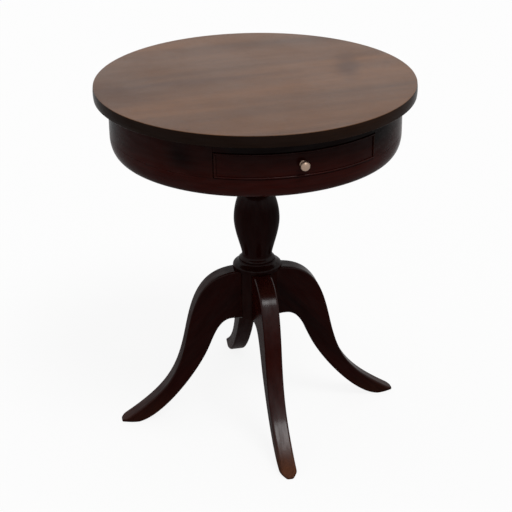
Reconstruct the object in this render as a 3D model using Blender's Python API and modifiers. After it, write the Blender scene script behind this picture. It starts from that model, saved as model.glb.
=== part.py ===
"""Drum side table: a round top and a drum with one drawer, turning on a vase column with four sabre legs.

Lengths are in metres. The origin is on the floor, on the column's axis.
+Z is up, and the drawer opens to -Y.
"""

import math
from collections import namedtuple

import bmesh
import bpy

MM = 0.001

# Clearances
GAP = 0.3 * MM  # between pieces that are glued or seated on each other
RUN = 1.0 * MM  # round the drawer front, and between the drawer and its guides
TURN = 0.6 * MM  # round the column's pivot in the drum
CUT_MARGIN = 2.0 * MM  # how far a cutter runs past the face it opens
WELD = 0.005 * MM  # points closer than this are one

# Facets of round pieces
DRUM_STEPS = 80
COLUMN_STEPS = 32
KNOB_STEPS = 24
SCREW_STEPS = 12
ARC_POINTS = 5
ROUND_POINTS = 8

# Top, with a slightly rounded edge
TOP_DIAMETER = 510 * MM
TOP_THICKNESS = 18.5 * MM
TOP_ARRIS = 1.2 * MM
TOP_BULGE = 0.6 * MM
TOP_UNDERCUT = 0.6 * MM

# Drum
TOP_OVERHANG = 22.5 * MM
DRUM_HEIGHT = 88.2 * MM
DRUM_WALL = 15 * MM
RING_LEDGE = 15 * MM  # of the base ring, under the floor's rim
RING_FACE = 4.7 * MM  # its upright part, above the rounded one
RING_ROUND = 12 * MM  # how far the rounded part runs in
BEARER_THICKNESS = 24.4 * MM
BEARER_WIDTH = 130 * MM
BEARER_END_SPACE = 6 * MM
FLOOR_THICKNESS = 6 * MM
RAIL_HEIGHT = 16.5 * MM
OPENING_WIDTH = 252 * MM
GUIDE_WIDTH = 13 * MM
GUIDE_HEIGHT = 12 * MM
BATTEN_WIDTH = 22 * MM
STRIP_END_SPACE = 6 * MM
STOP_SIZE = 12 * MM
STOP_SPACING = 120 * MM

# Drawer
FRONT_THICKNESS = 17 * MM
COCK_BEAD = 3.0 * MM
COCK_BEAD_PROUD = 1.8 * MM
COCK_BEAD_DEPTH = 9.0 * MM
SIDE_THICKNESS = 9 * MM
SIDE_DROP = 8.7 * MM  # from the front's top to the sides'
TAIL_COUNT = 2  # dovetail tails on each side's front end
TAIL_LENGTH = 12 * MM
TAIL_FLARE = 1.5 * MM
PIN_WIDTH = 3 * MM
BACK_THICKNESS = 8 * MM
BACK_DROP = 2 * MM
BACK_REBATE = 5 * MM
BOTTOM_THICKNESS = 4 * MM
BOTTOM_LIFT = 6.5 * MM
GROOVE_DEPTH = 4 * MM
DRAWER_BACK_SPACE = 10 * MM
KNOB_RADIUS = 7.6 * MM
KNOB_DOME = 5.8 * MM
KNOB_LENGTH = 15 * MM
KNOB_NECK_RADIUS = 3.7 * MM
KNOB_NECK_HEIGHT = 1.6 * MM
KNOB_FOOT_RADIUS = 5.6 * MM
KNOB_FOOT_HEIGHT = 1.6 * MM

# Pedestal: leg hub, collar and column, stacked from the hub's underside
BASE_TURN = math.radians(-5.2)  # the legs stand this far round from the drawer
HUB_UNDERSIDE = 181 * MM
HUB_HEIGHT = 87 * MM
HUB_ACROSS = 60 * MM
HUB_SHOULDER = 1.5 * MM  # of its flat beside each leg
HUB_WALL = 5 * MM  # between its bore and the leg tongues
HUB_FLOOR = 9 * MM
TENON_RADIUS = 14 * MM
COLLAR_HEIGHT = 15 * MM
COLLAR_RADIUS = 40.5 * MM
COLLAR_RIM = 4 * MM
COLLAR_TOP_RADIUS = 30.5 * MM
SHOULDER_RADIUS = 29.5 * MM
SHOULDER_HANDLE = 3.6 * MM
NECK_HEIGHT = 9 * MM
NECK_RADIUS = 25 * MM
NECK_HANDLES = (9.5 * MM, 4.5 * MM)  # how far the curve keeps straight above and below
VASE_RISE = 63 * MM
VASE_FALL = 54 * MM
VASE_RADIUS = 37.8 * MM
BELLY_HANDLES = (21.6 * MM, 22.7 * MM)
THROAT_RADIUS = 20 * MM
THROAT_HANDLE = (10.2 * MM, 5.4 * MM)  # out and down, where the vase's shoulder starts
RING_RADIUS = 3 * MM
RING_PROUD = 4.2 * MM
FLARE_HEIGHT = 60.1 * MM
FLARE_HANDLE = 20 * MM
FLARE_RADIUS = 34 * MM
CAP_RADIUS = 42 * MM
CAP_HEIGHT = 10 * MM
CAP_EDGE = 2 * MM
PIVOT_RADIUS = 14 * MM
PIVOT_SPARE = 0.6 * MM  # the pivot ends this far above the bearer
WASHER_LAP = 7 * MM
WASHER_THICKNESS = 2 * MM
WASHER_SPACE = 3 * MM

# Legs: outline points are (distance from the axis, height)
LEG_NAMES = ("right", "back", "left", "front")  # in order round the hub
LEG_WIDTH = 31 * MM
TOE_WIDTH = 25 * MM
LEG_EDGE = 3.5 * MM
KNEE_HANDLE = 65 * MM
UPPER_WAIST = (123.5 * MM, 160 * MM)
UPPER_SLOPE = math.radians(-78)
UPPER_HANDLES = (65 * MM, 74 * MM)
TOE_RADIUS = 231 * MM
TOE_HEIGHT = 10 * MM
TOE_SLOPE = math.radians(-32)
TOE_HANDLE = 89 * MM
TOE_TIP = 9 * MM
TOE_CORNER = 10 * MM  # the toe's end is rounded this far in from each side
ARCH_HANDLE = 22 * MM
LOWER_WAIST = (86.5 * MM, 132 * MM)
LOWER_SLOPE = math.radians(-67)
LOWER_HANDLES = (23 * MM, 54 * MM)
SOLE_LENGTH = 20 * MM
SOLE_SLOPE = math.radians(-7)
SOLE_HANDLE = 40 * MM
KNEE_STATIONS = 10
SHANK_STATIONS = 9
SHARP_ANGLE = math.radians(35)  # edges sharper than this aren't shaded smooth
TONGUE_ROOT = 12 * MM
TONGUE_END = 17 * MM
TONGUE_DROP = 14 * MM  # from the leg's top to the tongue's

# Spider plate under the hub
PLATE_THICKNESS = 2.5 * MM
PLATE_REACH = 15 * MM  # how far its arms lie under the legs
PLATE_WIDTH = 18 * MM
PLATE_ROOT_WIDTH = 26 * MM
PLATE_SPACE = 1 * MM  # of the legs' flat undersides past its arms

# Screws: how far each bites into the last piece it holds, and where those of the drum stand
BATTEN_SCREW_BITE = 7 * MM
BEARER_SCREW_BITE = 9 * MM
PLATE_SCREW_BITE = 15 * MM
CENTRE_SCREW_BITE = 34 * MM
PIVOT_SCREW_BITE = 33 * MM
KNOB_SCREW_BITE = 8 * MM
BATTEN_SCREW_INSET = 62 * MM
BEARER_SCREW_INSET = 25 * MM

# Heights, from the floor up
HUB_TOP = HUB_UNDERSIDE + HUB_HEIGHT
COLLAR_BOTTOM = HUB_TOP + GAP
COLLAR_TOP = COLLAR_BOTTOM + COLLAR_HEIGHT
SHOULDER = COLLAR_TOP + GAP
NECK = SHOULDER + NECK_HEIGHT
BELLY = NECK + VASE_RISE
THROAT = BELLY + VASE_FALL
FLARE_FOOT = THROAT + 2 * RING_RADIUS
CAP_FOOT = FLARE_FOOT + FLARE_HEIGHT
CAP_TOP = CAP_FOOT + CAP_HEIGHT
DRUM_FOOT = CAP_TOP + GAP
BEARER_TOP = DRUM_FOOT + BEARER_THICKNESS
FLOOR_FOOT = BEARER_TOP + GAP
FLOOR_TOP = FLOOR_FOOT + FLOOR_THICKNESS
WALL_FOOT = FLOOR_TOP + GAP
DRUM_TOP = DRUM_FOOT + DRUM_HEIGHT
OPENING_TOP = DRUM_TOP - RAIL_HEIGHT
TOP_FOOT = DRUM_TOP + GAP
TOP_FACE = TOP_FOOT + TOP_THICKNESS
PIVOT_TOP = BEARER_TOP + PIVOT_SPARE
WASHER_FOOT = PIVOT_TOP + GAP
WASHER_TOP = WASHER_FOOT + WASHER_THICKNESS
WASHER_RADIUS = PIVOT_RADIUS + WASHER_LAP

# Radii and widths of the drum and drawer
TOP_RADIUS = TOP_DIAMETER / 2
DRUM_RADIUS = TOP_RADIUS - TOP_OVERHANG
DRUM_BORE = DRUM_RADIUS - DRUM_WALL
RING_BORE = DRUM_BORE - RING_LEDGE
FRONT_BORE = DRUM_RADIUS - FRONT_THICKNESS
OPENING_HALF = OPENING_WIDTH / 2
FRONT_HALF = OPENING_HALF - RUN
CORE_HALF = FRONT_HALF - COCK_BEAD - GAP
SIDE_INNER = CORE_HALF - SIDE_THICKNESS
GUIDE_INNER = CORE_HALF + RUN
GUIDE_OUTER = GUIDE_INNER + GUIDE_WIDTH
BATTEN_OUTER = GUIDE_OUTER
BATTEN_INNER = BATTEN_OUTER - BATTEN_WIDTH
FRONT_FOOT = FLOOR_TOP + RUN
FRONT_TOP = OPENING_TOP - RUN
FRONT_MIDDLE = (FRONT_FOOT + FRONT_TOP) / 2
SIDE_FOOT = WALL_FOOT
SIDE_TOP = FRONT_TOP - SIDE_DROP
BOTTOM_FOOT = SIDE_FOOT + BOTTOM_LIFT
BOTTOM_TOP = BOTTOM_FOOT + BOTTOM_THICKNESS
BATTEN_FOOT = SIDE_TOP + RUN
BATTEN_HEIGHT = DRUM_TOP - BATTEN_FOOT

# Pedestal
HUB_HALF = HUB_ACROSS / 2
LEG_STEP = math.tau / len(LEG_NAMES)
LEG_ROOT = HUB_HALF + GAP
TONGUE_DEPTH = HUB_HALF - TENON_RADIUS - HUB_WALL
TENON_FOOT = HUB_UNDERSIDE + HUB_FLOOR + GAP
PLATE_TOP = HUB_UNDERSIDE - GAP
PLATE_FOOT = PLATE_TOP - PLATE_THICKNESS
PLATE_ARM = LEG_ROOT + PLATE_REACH
PLATE_SCREW_RADIUS = LEG_ROOT + PLATE_REACH / 2
ARCH_RADIUS = PLATE_ARM + PLATE_SPACE

# Screws: a sunk head lies flush, another stands on its seat
Screw = namedtuple("Screw", "head_radius head_height shank_radius length sunk")
BATTEN_SCREW = Screw(4.0 * MM, 2.0 * MM, 2.0 * MM, BATTEN_HEIGHT + GAP + BATTEN_SCREW_BITE, True)
BEARER_SCREW = Screw(
    4.0 * MM, 2.0 * MM, 2.0 * MM, BEARER_THICKNESS + FLOOR_THICKNESS + 2 * GAP + BEARER_SCREW_BITE, True
)
PLATE_SCREW = Screw(3.8 * MM, 1.8 * MM, 2.0 * MM, PLATE_THICKNESS + GAP + PLATE_SCREW_BITE, True)
CENTRE_SCREW = Screw(
    5.2 * MM, 2.2 * MM, 3.0 * MM, PLATE_THICKNESS + HUB_FLOOR + 2 * GAP + CENTRE_SCREW_BITE, True
)
PIVOT_SCREW = Screw(6.0 * MM, 2.4 * MM, 2.6 * MM, WASHER_THICKNESS + 2 * GAP + PIVOT_SCREW_BITE, False)
KNOB_SCREW = Screw(4.5 * MM, 2.4 * MM, 2.0 * MM, FRONT_THICKNESS + 2 * GAP + KNOB_SCREW_BITE, False)


def chord(radius, offset):
    """Half the length of a chord at this distance from a circle's centre."""
    return math.sqrt(radius * radius - offset * offset)


DRAWER_BACK = chord(DRUM_BORE, CORE_HALF) - DRAWER_BACK_SPACE
STRIP_END = chord(DRUM_BORE, GUIDE_OUTER) - STRIP_END_SPACE

for leftover in list(bpy.data.objects):
    bpy.data.objects.remove(leftover)

TABLE = bpy.data.collections.new("drum_side_table")
CUTTERS = bpy.data.collections.new("drum_side_table_cutters")
bpy.context.scene.collection.children.link(TABLE)
bpy.context.scene.collection.children.link(CUTTERS)


def finish(name, colour, roughness, metallic=0.0):
    """A plain material with a colour, roughness and metallic value."""
    material = bpy.data.materials.new(name)
    material.use_nodes = True
    shader = material.node_tree.nodes["Principled BSDF"]
    shader.inputs["Base Color"].default_value = (*colour, 1)
    shader.inputs["Roughness"].default_value = roughness
    shader.inputs["Metallic"].default_value = metallic
    material.diffuse_color = (*colour, 1)
    return material


MAHOGANY = finish("polished_mahogany", (0.085, 0.034, 0.022), 0.22)
DARK_MAHOGANY = finish("dark_mahogany", (0.05, 0.018, 0.012), 0.25)
INNER_WOOD = finish("inner_wood", (0.36, 0.23, 0.13), 0.6)
BRASS = finish("brass", (0.75, 0.55, 0.25), 0.25, 1.0)
IRON = finish("black_iron", (0.05, 0.05, 0.05), 0.55, 1.0)
STEEL = finish("steel", (0.5, 0.5, 0.5), 0.35, 1.0)


def frame(name, height=0.0, turn=0.0):
    """An empty that carries the pieces that move together."""
    empty = bpy.data.objects.new(name, None)
    empty.location = (0, 0, height)
    empty.rotation_euler = (0, 0, turn)
    TABLE.objects.link(empty)
    return empty


BASE = frame("base_frame", turn=BASE_TURN)
DRUM = frame("drum_frame")
DRAWER = frame("drawer_frame", height=FRONT_MIDDLE)
bpy.context.view_layer.update()


def piece(item, material, carrier):
    """Put an object among the table's pieces, with its finish and the empty that carries it."""
    TABLE.objects.link(item)
    item.data.materials.clear()
    item.data.materials.append(material)
    item.parent = carrier
    item.location.z -= carrier.location.z
    return item


def cutter(item, carrier=None):
    """Put an object among the cutters."""
    CUTTERS.objects.link(item)
    item.hide_render = True
    item.display_type = "WIRE"
    item.parent = carrier
    return item


def carve(item, tool, operation="DIFFERENCE"):
    """Cut an object by a cutter, or join or limit it with one."""
    change = item.modifiers.new(tool.name, "BOOLEAN")
    change.object = tool
    change.operation = operation
    change.solver = "EXACT"


def block(name, low, high):
    """A box between two corners."""
    mesh = bpy.data.meshes.new(name)
    shape = bmesh.new()
    bmesh.ops.create_cube(shape, size=1)
    size = [b - a for a, b in zip(low, high)]
    middle = [(a + b) / 2 for a, b in zip(low, high)]
    bmesh.ops.scale(shape, verts=shape.verts, vec=size)
    bmesh.ops.translate(shape, verts=shape.verts, vec=middle)
    shape.to_mesh(mesh)
    shape.free()
    return bpy.data.objects.new(name, mesh)


def turned(name, profile, steps, ring=False):
    """A lathe shape from (radius, height) points down its outer side; a ring's are a closed loop."""
    mesh = bpy.data.meshes.new(name)
    count = len(profile)
    links = [(i, i + 1) for i in range(count - 1)]
    if ring:
        links.append((count - 1, 0))
    mesh.from_pydata([(radius, 0, height) for radius, height in profile], links, [])
    item = bpy.data.objects.new(name, mesh)
    lathe = item.modifiers.new("Lathe", "SCREW")
    lathe.steps = steps
    lathe.render_steps = steps
    lathe.use_merge_vertices = True
    lathe.merge_threshold = WELD
    return item


def tube(name, bore, radius, low, high, steps=DRUM_STEPS):
    """A plain ring between two radii and two heights."""
    return turned(name, [(bore, high), (radius, high), (radius, low), (bore, low)], steps, ring=True)


def disc(name, radius, low, high, steps=DRUM_STEPS):
    """A plain round board or plug."""
    return turned(name, [(0, high), (radius, high), (radius, low), (0, low)], steps)


def extruded(name, outline, low, high):
    """A flat outline of (x, y) points, raised between two heights."""
    curve = bpy.data.curves.new(name, "CURVE")
    curve.dimensions = "2D"
    curve.fill_mode = "BOTH"
    curve.extrude = (high - low) / 2
    spline = curve.splines.new("POLY")
    spline.points.add(len(outline) - 1)
    for point, (x, y) in zip(spline.points, outline):
        point.co = (x, y, 0, 1)
    spline.use_cyclic_u = True
    drawing = bpy.data.objects.new(name + "_outline", curve)
    TABLE.objects.link(drawing)
    view = bpy.context.evaluated_depsgraph_get()
    mesh = bpy.data.meshes.new_from_object(drawing.evaluated_get(view))
    bpy.data.objects.remove(drawing)
    shape = bmesh.new()
    shape.from_mesh(mesh)
    bmesh.ops.remove_doubles(shape, verts=shape.verts, dist=WELD)
    bmesh.ops.translate(shape, verts=shape.verts, vec=(0, 0, (low + high) / 2))
    bmesh.ops.recalc_face_normals(shape, faces=shape.faces)
    shape.to_mesh(mesh)
    shape.free()
    return bpy.data.objects.new(name, mesh)


def arc(centre, radii, start, end, count=ARC_POINTS):
    """Points on an elliptical arc between two angles in degrees."""
    points = []
    for i in range(count):
        angle = math.radians(start + (end - start) * i / (count - 1))
        points.append((centre[0] + radii[0] * math.cos(angle), centre[1] + radii[1] * math.sin(angle)))
    return points


def cubic(start, leaving, arriving, end, count):
    """Points on a cubic curve from just after its start to its end."""
    points = []
    for i in range(1, count + 1):
        t = i / count
        weights = ((1 - t) ** 3, 3 * (1 - t) ** 2 * t, 3 * (1 - t) * t * t, t ** 3)
        corners = (start, leaving, arriving, end)
        points.append(tuple(sum(w * c[k] for w, c in zip(weights, corners)) for k in range(2)))
    return points


def along(point, angle, distance):
    """The point at this distance from another, in a direction."""
    return (point[0] + distance * math.cos(angle), point[1] + distance * math.sin(angle))


def screw_profile(kind, grow=0.0):
    """Profile of a screw whose head lies at height 0 and whose tip points down; grow makes its hole."""
    shank = kind.shank_radius + grow
    taper = -kind.length + 2 * kind.shank_radius
    tip = [(shank, taper), (0, -kind.length - grow)]
    if kind.sunk:
        head = kind.head_radius + grow
        top = CUT_MARGIN if grow else 0.0
        rim = [(head, top), (head, 0)] if grow else [(head, 0)]
        return [(0, top), *rim, (shank, -kind.head_height), *tip]
    if grow:
        return [(0, CUT_MARGIN), (shank, CUT_MARGIN), *tip]
    rounded = arc((0, 0), (kind.head_radius, kind.head_height), 90, 0, 4)
    return [*rounded, (shank, 0), *tip]


UP = math.pi
DOWN = 0.0
FORWARD = -math.pi / 2


def drive(name, kind, place, aim, material, carrier, through):
    """A screw at a place, driven up, down or forward, and its hole in each piece that it goes through."""
    item = turned(name, screw_profile(kind), SCREW_STEPS)
    hole = turned(name + "_hole", screw_profile(kind, GAP), SCREW_STEPS)
    for thing in (item, hole):
        thing.location = place
        thing.rotation_euler = (aim, 0, 0)
    piece(item, material, carrier)
    cutter(hole, carrier)
    hole.location.z -= carrier.location.z
    for target in through:
        carve(target, hole)


def top_profile():
    """Half section of the top: a flat face, and an edge that bulges a little between softened corners."""
    rim = TOP_RADIUS - TOP_BULGE
    arris = arc((rim - TOP_ARRIS, TOP_FACE - TOP_ARRIS), (TOP_ARRIS, TOP_ARRIS), 90, 0)
    half = (TOP_THICKNESS - TOP_ARRIS - TOP_UNDERCUT) / 2
    middle = TOP_FOOT + TOP_UNDERCUT + half
    radius = (half * half + TOP_BULGE * TOP_BULGE) / (2 * TOP_BULGE)
    spread = math.degrees(math.asin(half / radius))
    bulge = arc((TOP_RADIUS - radius, middle), (radius, radius), spread, -spread)
    return [(0, TOP_FACE), *arris, *bulge[1:], (rim - TOP_UNDERCUT, TOP_FOOT), (0, TOP_FOOT)]


table_top = piece(turned("table_top", top_profile(), DRUM_STEPS), MAHOGANY, DRUM)


def ring_profile():
    """Half section of the base ring: a face that rounds under, and a ledge inside for the floor."""
    shoulder = FLOOR_TOP - RING_FACE
    centre = (DRUM_RADIUS - RING_ROUND, shoulder)
    under = arc(centre, (RING_ROUND, shoulder - DRUM_FOOT), 0, -90, ROUND_POINTS)
    ledge = [(RING_BORE, DRUM_FOOT), (RING_BORE, BEARER_TOP), (DRUM_BORE, BEARER_TOP)]
    return [(DRUM_BORE, FLOOR_TOP), (DRUM_RADIUS, FLOOR_TOP), *under, *ledge]


piece(turned("base_ring", ring_profile(), DRUM_STEPS, ring=True), DARK_MAHOGANY, DRUM)


# Frieze: a bent wall on the ring, open at the front under a rail
def front_window(name, half, low, high):
    """A box that takes in the front of the drum, this wide and between two heights."""
    return cutter(block(name, (-half, -TOP_RADIUS, low), (half, 0, high)))


opening = front_window("drawer_opening", OPENING_HALF, WALL_FOOT - CUT_MARGIN, DRUM_TOP + CUT_MARGIN)
frieze_wall = piece(tube("frieze_wall", DRUM_BORE, DRUM_RADIUS, WALL_FOOT, DRUM_TOP), DARK_MAHOGANY, DRUM)
carve(frieze_wall, opening)
between_walls = front_window(
    "between_walls", OPENING_HALF - GAP, OPENING_TOP - CUT_MARGIN, DRUM_TOP + CUT_MARGIN
)
drawer_rail = piece(tube("drawer_rail", DRUM_BORE, DRUM_RADIUS, OPENING_TOP, DRUM_TOP), DARK_MAHOGANY, DRUM)
carve(drawer_rail, between_walls, "INTERSECT")

# Floor and bearer, open round the pivot and its washer
drum_floor = tube("drum_floor", WASHER_RADIUS + WASHER_SPACE, DRUM_BORE - GAP, FLOOR_FOOT, FLOOR_TOP)
piece(drum_floor, INNER_WOOD, DRUM)
bearer_half = BEARER_WIDTH / 2
bearer_end = chord(RING_BORE, bearer_half) - BEARER_END_SPACE
bearer = block("bearer", (-bearer_end, -bearer_half, DRUM_FOOT), (bearer_end, bearer_half, BEARER_TOP))
piece(bearer, INNER_WOOD, DRUM)
pivot_bore = disc(
    "pivot_bore", PIVOT_RADIUS + TURN, DRUM_FOOT - CUT_MARGIN, BEARER_TOP + CUT_MARGIN, COLUMN_STEPS
)
carve(bearer, cutter(pivot_bore))

# Strips beside and above the drawer, the stops behind it, and their screws
for side_name, side in (("left", -1), ("right", 1)):
    guide_edges = sorted((side * GUIDE_INNER, side * GUIDE_OUTER))
    guide = block(
        f"guide_{side_name}",
        (guide_edges[0], -STRIP_END, WALL_FOOT),
        (guide_edges[1], STRIP_END, WALL_FOOT + GUIDE_HEIGHT),
    )
    piece(guide, INNER_WOOD, DRUM)
    batten_edges = sorted((side * BATTEN_INNER, side * BATTEN_OUTER))
    batten = block(
        f"batten_{side_name}",
        (batten_edges[0], -STRIP_END, BATTEN_FOOT),
        (batten_edges[1], STRIP_END, DRUM_TOP),
    )
    piece(batten, INNER_WOOD, DRUM)
    stop_middle = side * STOP_SPACING / 2
    stop_front = DRAWER_BACK + GAP
    stop = block(
        f"drawer_stop_{side_name}",
        (stop_middle - STOP_SIZE / 2, stop_front, WALL_FOOT),
        (stop_middle + STOP_SIZE / 2, stop_front + STOP_SIZE, WALL_FOOT + STOP_SIZE),
    )
    piece(stop, INNER_WOOD, DRUM)
    for end_name, end in (("front", -1), ("rear", 1)):
        batten_place = (sum(batten_edges) / 2, end * (STRIP_END - BATTEN_SCREW_INSET), BATTEN_FOOT)
        batten_screw = f"batten_screw_{side_name}_{end_name}"
        drive(batten_screw, BATTEN_SCREW, batten_place, UP, STEEL, DRUM, (batten, table_top))
        bearer_place = (sum(guide_edges) / 2, end * (bearer_half - BEARER_SCREW_INSET), DRUM_FOOT)
        bearer_screw = f"bearer_screw_{side_name}_{end_name}"
        drive(bearer_screw, BEARER_SCREW, bearer_place, UP, STEEL, DRUM, (bearer, drum_floor, guide))

# Drawer front: a bent board with a groove for the bottom, edged with cock beads
core_foot = FRONT_FOOT + COCK_BEAD + GAP
core_top = FRONT_TOP - COCK_BEAD - GAP
core_window = front_window("front_core", CORE_HALF, core_foot - CUT_MARGIN, core_top + CUT_MARGIN)
drawer_front = piece(tube("drawer_front", FRONT_BORE, DRUM_RADIUS, core_foot, core_top), MAHOGANY, DRAWER)
carve(drawer_front, core_window, "INTERSECT")
groove = disc("bottom_groove", FRONT_BORE + GROOVE_DEPTH, BOTTOM_FOOT - GAP, BOTTOM_TOP + GAP)
carve(drawer_front, cutter(groove))

bead_front = DRUM_RADIUS + COCK_BEAD_PROUD
bead_back = bead_front - COCK_BEAD_DEPTH
bead_window = front_window("bead_width", FRONT_HALF, FRONT_FOOT - CUT_MARGIN, FRONT_TOP + CUT_MARGIN)
for bead_name, bead_foot in (("bottom", FRONT_FOOT), ("top", FRONT_TOP - COCK_BEAD)):
    bead = tube(f"cock_bead_{bead_name}", bead_back, bead_front, bead_foot, bead_foot + COCK_BEAD)
    carve(piece(bead, MAHOGANY, DRAWER), bead_window, "INTERSECT")
for bead_name, side in (("left", -1), ("right", 1)):
    bead_edges = sorted((side * (FRONT_HALF - COCK_BEAD), side * FRONT_HALF))
    bead_end = block(
        f"bead_end_{bead_name}",
        (bead_edges[0], -TOP_RADIUS, FRONT_FOOT - CUT_MARGIN),
        (bead_edges[1], 0, FRONT_TOP + CUT_MARGIN),
    )
    bead = tube(f"cock_bead_{bead_name}", bead_back, bead_front, core_foot, core_top)
    carve(piece(bead, MAHOGANY, DRAWER), cutter(bead_end), "INTERSECT")

# Drawer box: sides and bottom end on the front's hollow back, and the sides have tails in its ends
front_hollow = cutter(disc("front_hollow", FRONT_BORE - GAP, FLOOR_FOOT, DRUM_TOP))
tail_pitch = (SIDE_TOP - core_foot) / TAIL_COUNT
tail_root = -chord(FRONT_BORE, CORE_HALF)


def tail(name, middle, left, right, grow=0.0):
    """A dovetail tail at this height, from left to right, that widens forward; grow makes its socket."""
    end_half = (tail_pitch - PIN_WIDTH) / 2 + grow
    root_half = end_half - TAIL_FLARE
    end = tail_root - TAIL_LENGTH - grow
    half = [(tail_root + TAIL_LENGTH, root_half), (tail_root, root_half), (end, end_half)]
    outline = half + [(y, -z) for y, z in reversed(half)]
    item = extruded(name, outline, left, right)
    item.rotation_euler = (math.pi / 2, 0, math.pi / 2)
    item.location.z = middle
    return cutter(item)


for tail_place in range(TAIL_COUNT):
    tail_middle = core_foot + (tail_place + 0.5) * tail_pitch
    carve(front_hollow, tail(f"tail_{tail_place}", tail_middle, -TOP_RADIUS, TOP_RADIUS), "UNION")
    for socket_side, socket_edges in (
        ("left", (-CORE_HALF - CUT_MARGIN, -SIDE_INNER + GAP)),
        ("right", (SIDE_INNER - GAP, CORE_HALF + CUT_MARGIN)),
    ):
        socket_name = f"socket_{socket_side}_{tail_place}"
        carve(drawer_front, tail(socket_name, tail_middle, *socket_edges, grow=GAP))
bottom_half = SIDE_INNER + GROOVE_DEPTH - GAP
side_groove = block(
    "side_groove",
    (-SIDE_INNER - GROOVE_DEPTH, -TOP_RADIUS, BOTTOM_FOOT - GAP),
    (SIDE_INNER + GROOVE_DEPTH, TOP_RADIUS, BOTTOM_TOP + GAP),
)
cutter(side_groove)
rebate_half = SIDE_INNER + BACK_REBATE
back_rebate = block(
    "back_rebate",
    (-rebate_half, DRAWER_BACK - BACK_THICKNESS - GAP, BOTTOM_TOP),
    (rebate_half, DRAWER_BACK + CUT_MARGIN, SIDE_TOP + CUT_MARGIN),
)
cutter(back_rebate)
for side_name, side in (("left", -1), ("right", 1)):
    side_edges = sorted((side * SIDE_INNER, side * CORE_HALF))
    drawer_side = block(
        f"drawer_side_{side_name}",
        (side_edges[0], -DRUM_RADIUS, SIDE_FOOT),
        (side_edges[1], DRAWER_BACK, SIDE_TOP),
    )
    piece(drawer_side, INNER_WOOD, DRAWER)
    carve(drawer_side, front_hollow, "INTERSECT")
    carve(drawer_side, side_groove)
    carve(drawer_side, back_rebate)
drawer_bottom = block(
    "drawer_bottom", (-bottom_half, -DRUM_RADIUS, BOTTOM_FOOT), (bottom_half, DRAWER_BACK, BOTTOM_TOP)
)
piece(drawer_bottom, INNER_WOOD, DRAWER)
bottom_edge = disc("bottom_edge", FRONT_BORE + GROOVE_DEPTH - GAP, FLOOR_FOOT, DRUM_TOP)
carve(drawer_bottom, cutter(bottom_edge), "INTERSECT")
back_half = rebate_half - GAP
drawer_back = block(
    "drawer_back",
    (-back_half, DRAWER_BACK - BACK_THICKNESS, BOTTOM_TOP + GAP),
    (back_half, DRAWER_BACK, SIDE_TOP - BACK_DROP),
)
piece(drawer_back, INNER_WOOD, DRAWER)


def knob_profile():
    """Half section of the knob, from its face down to its foot."""
    ball = arc((0, KNOB_LENGTH - KNOB_DOME), (KNOB_RADIUS, KNOB_DOME), 90, -60, 8)
    neck_top = KNOB_FOOT_HEIGHT + KNOB_NECK_HEIGHT
    neck = [(KNOB_NECK_RADIUS, neck_top), (KNOB_NECK_RADIUS, KNOB_FOOT_HEIGHT)]
    return [*ball, *neck, (KNOB_FOOT_RADIUS, KNOB_FOOT_HEIGHT), (KNOB_FOOT_RADIUS, 0), (0, 0)]


# Knob, held by a screw from inside the drawer
drawer_knob = turned("drawer_knob", knob_profile(), KNOB_STEPS)
drawer_knob.location = (0, -DRUM_RADIUS - GAP, FRONT_MIDDLE)
drawer_knob.rotation_euler = (math.pi / 2, 0, 0)
piece(drawer_knob, BRASS, DRAWER)
knob_screw_place = (0, -FRONT_BORE + GAP, FRONT_MIDDLE)
drive("knob_screw", KNOB_SCREW, knob_screw_place, FORWARD, STEEL, DRAWER, (drawer_front, drawer_knob))


def column_profile():
    """Half section of the column: pivot, cap, flare, ring, vase, neck, shoulder and tenon."""
    pilot = PIVOT_SCREW.shank_radius + GAP
    pilot_foot = WASHER_TOP - PIVOT_SCREW.length
    bore = CENTRE_SCREW.shank_radius + GAP
    bore_top = PLATE_FOOT + CENTRE_SCREW.length + GAP
    ring_middle = THROAT + RING_RADIUS
    pivot = [(0, pilot_foot), (pilot, pilot_foot), (pilot, PIVOT_TOP), (PIVOT_RADIUS, PIVOT_TOP)]
    cap = [
        (PIVOT_RADIUS, CAP_TOP),
        (CAP_RADIUS - CAP_EDGE, CAP_TOP),
        (CAP_RADIUS, CAP_TOP - CAP_EDGE),
        (CAP_RADIUS, CAP_FOOT + CAP_EDGE),
        (FLARE_RADIUS, CAP_FOOT),
    ]
    flare = cubic(
        (FLARE_RADIUS, CAP_FOOT),
        (THROAT_RADIUS, CAP_FOOT - FLARE_HANDLE),
        (THROAT_RADIUS, FLARE_FOOT + FLARE_HANDLE),
        (THROAT_RADIUS, FLARE_FOOT),
        6,
    )
    ring = arc((THROAT_RADIUS, ring_middle), (RING_PROUD, RING_RADIUS), 60, -60)
    shoulder = cubic(
        (THROAT_RADIUS, THROAT),
        (THROAT_RADIUS + THROAT_HANDLE[0], THROAT - THROAT_HANDLE[1]),
        (VASE_RADIUS, BELLY + BELLY_HANDLES[0]),
        (VASE_RADIUS, BELLY),
        7,
    )
    body = cubic(
        (VASE_RADIUS, BELLY),
        (VASE_RADIUS, BELLY - BELLY_HANDLES[1]),
        (NECK_RADIUS, NECK + NECK_HANDLES[0]),
        (NECK_RADIUS, NECK),
        7,
    )
    foot = cubic(
        (NECK_RADIUS, NECK), (NECK_RADIUS, NECK - NECK_HANDLES[1]),
        (SHOULDER_RADIUS, SHOULDER + SHOULDER_HANDLE), (SHOULDER_RADIUS, SHOULDER), 3,
    )
    tenon = [(TENON_RADIUS, SHOULDER), (TENON_RADIUS, TENON_FOOT)]
    tie_hole = [(bore, TENON_FOOT), (bore, bore_top), (0, bore_top)]
    return [*pivot, *cap, *flare, *ring, (THROAT_RADIUS, THROAT), *shoulder, *body, *foot, *tenon, *tie_hole]


piece(turned("column", column_profile(), COLUMN_STEPS), MAHOGANY, BASE)

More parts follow.
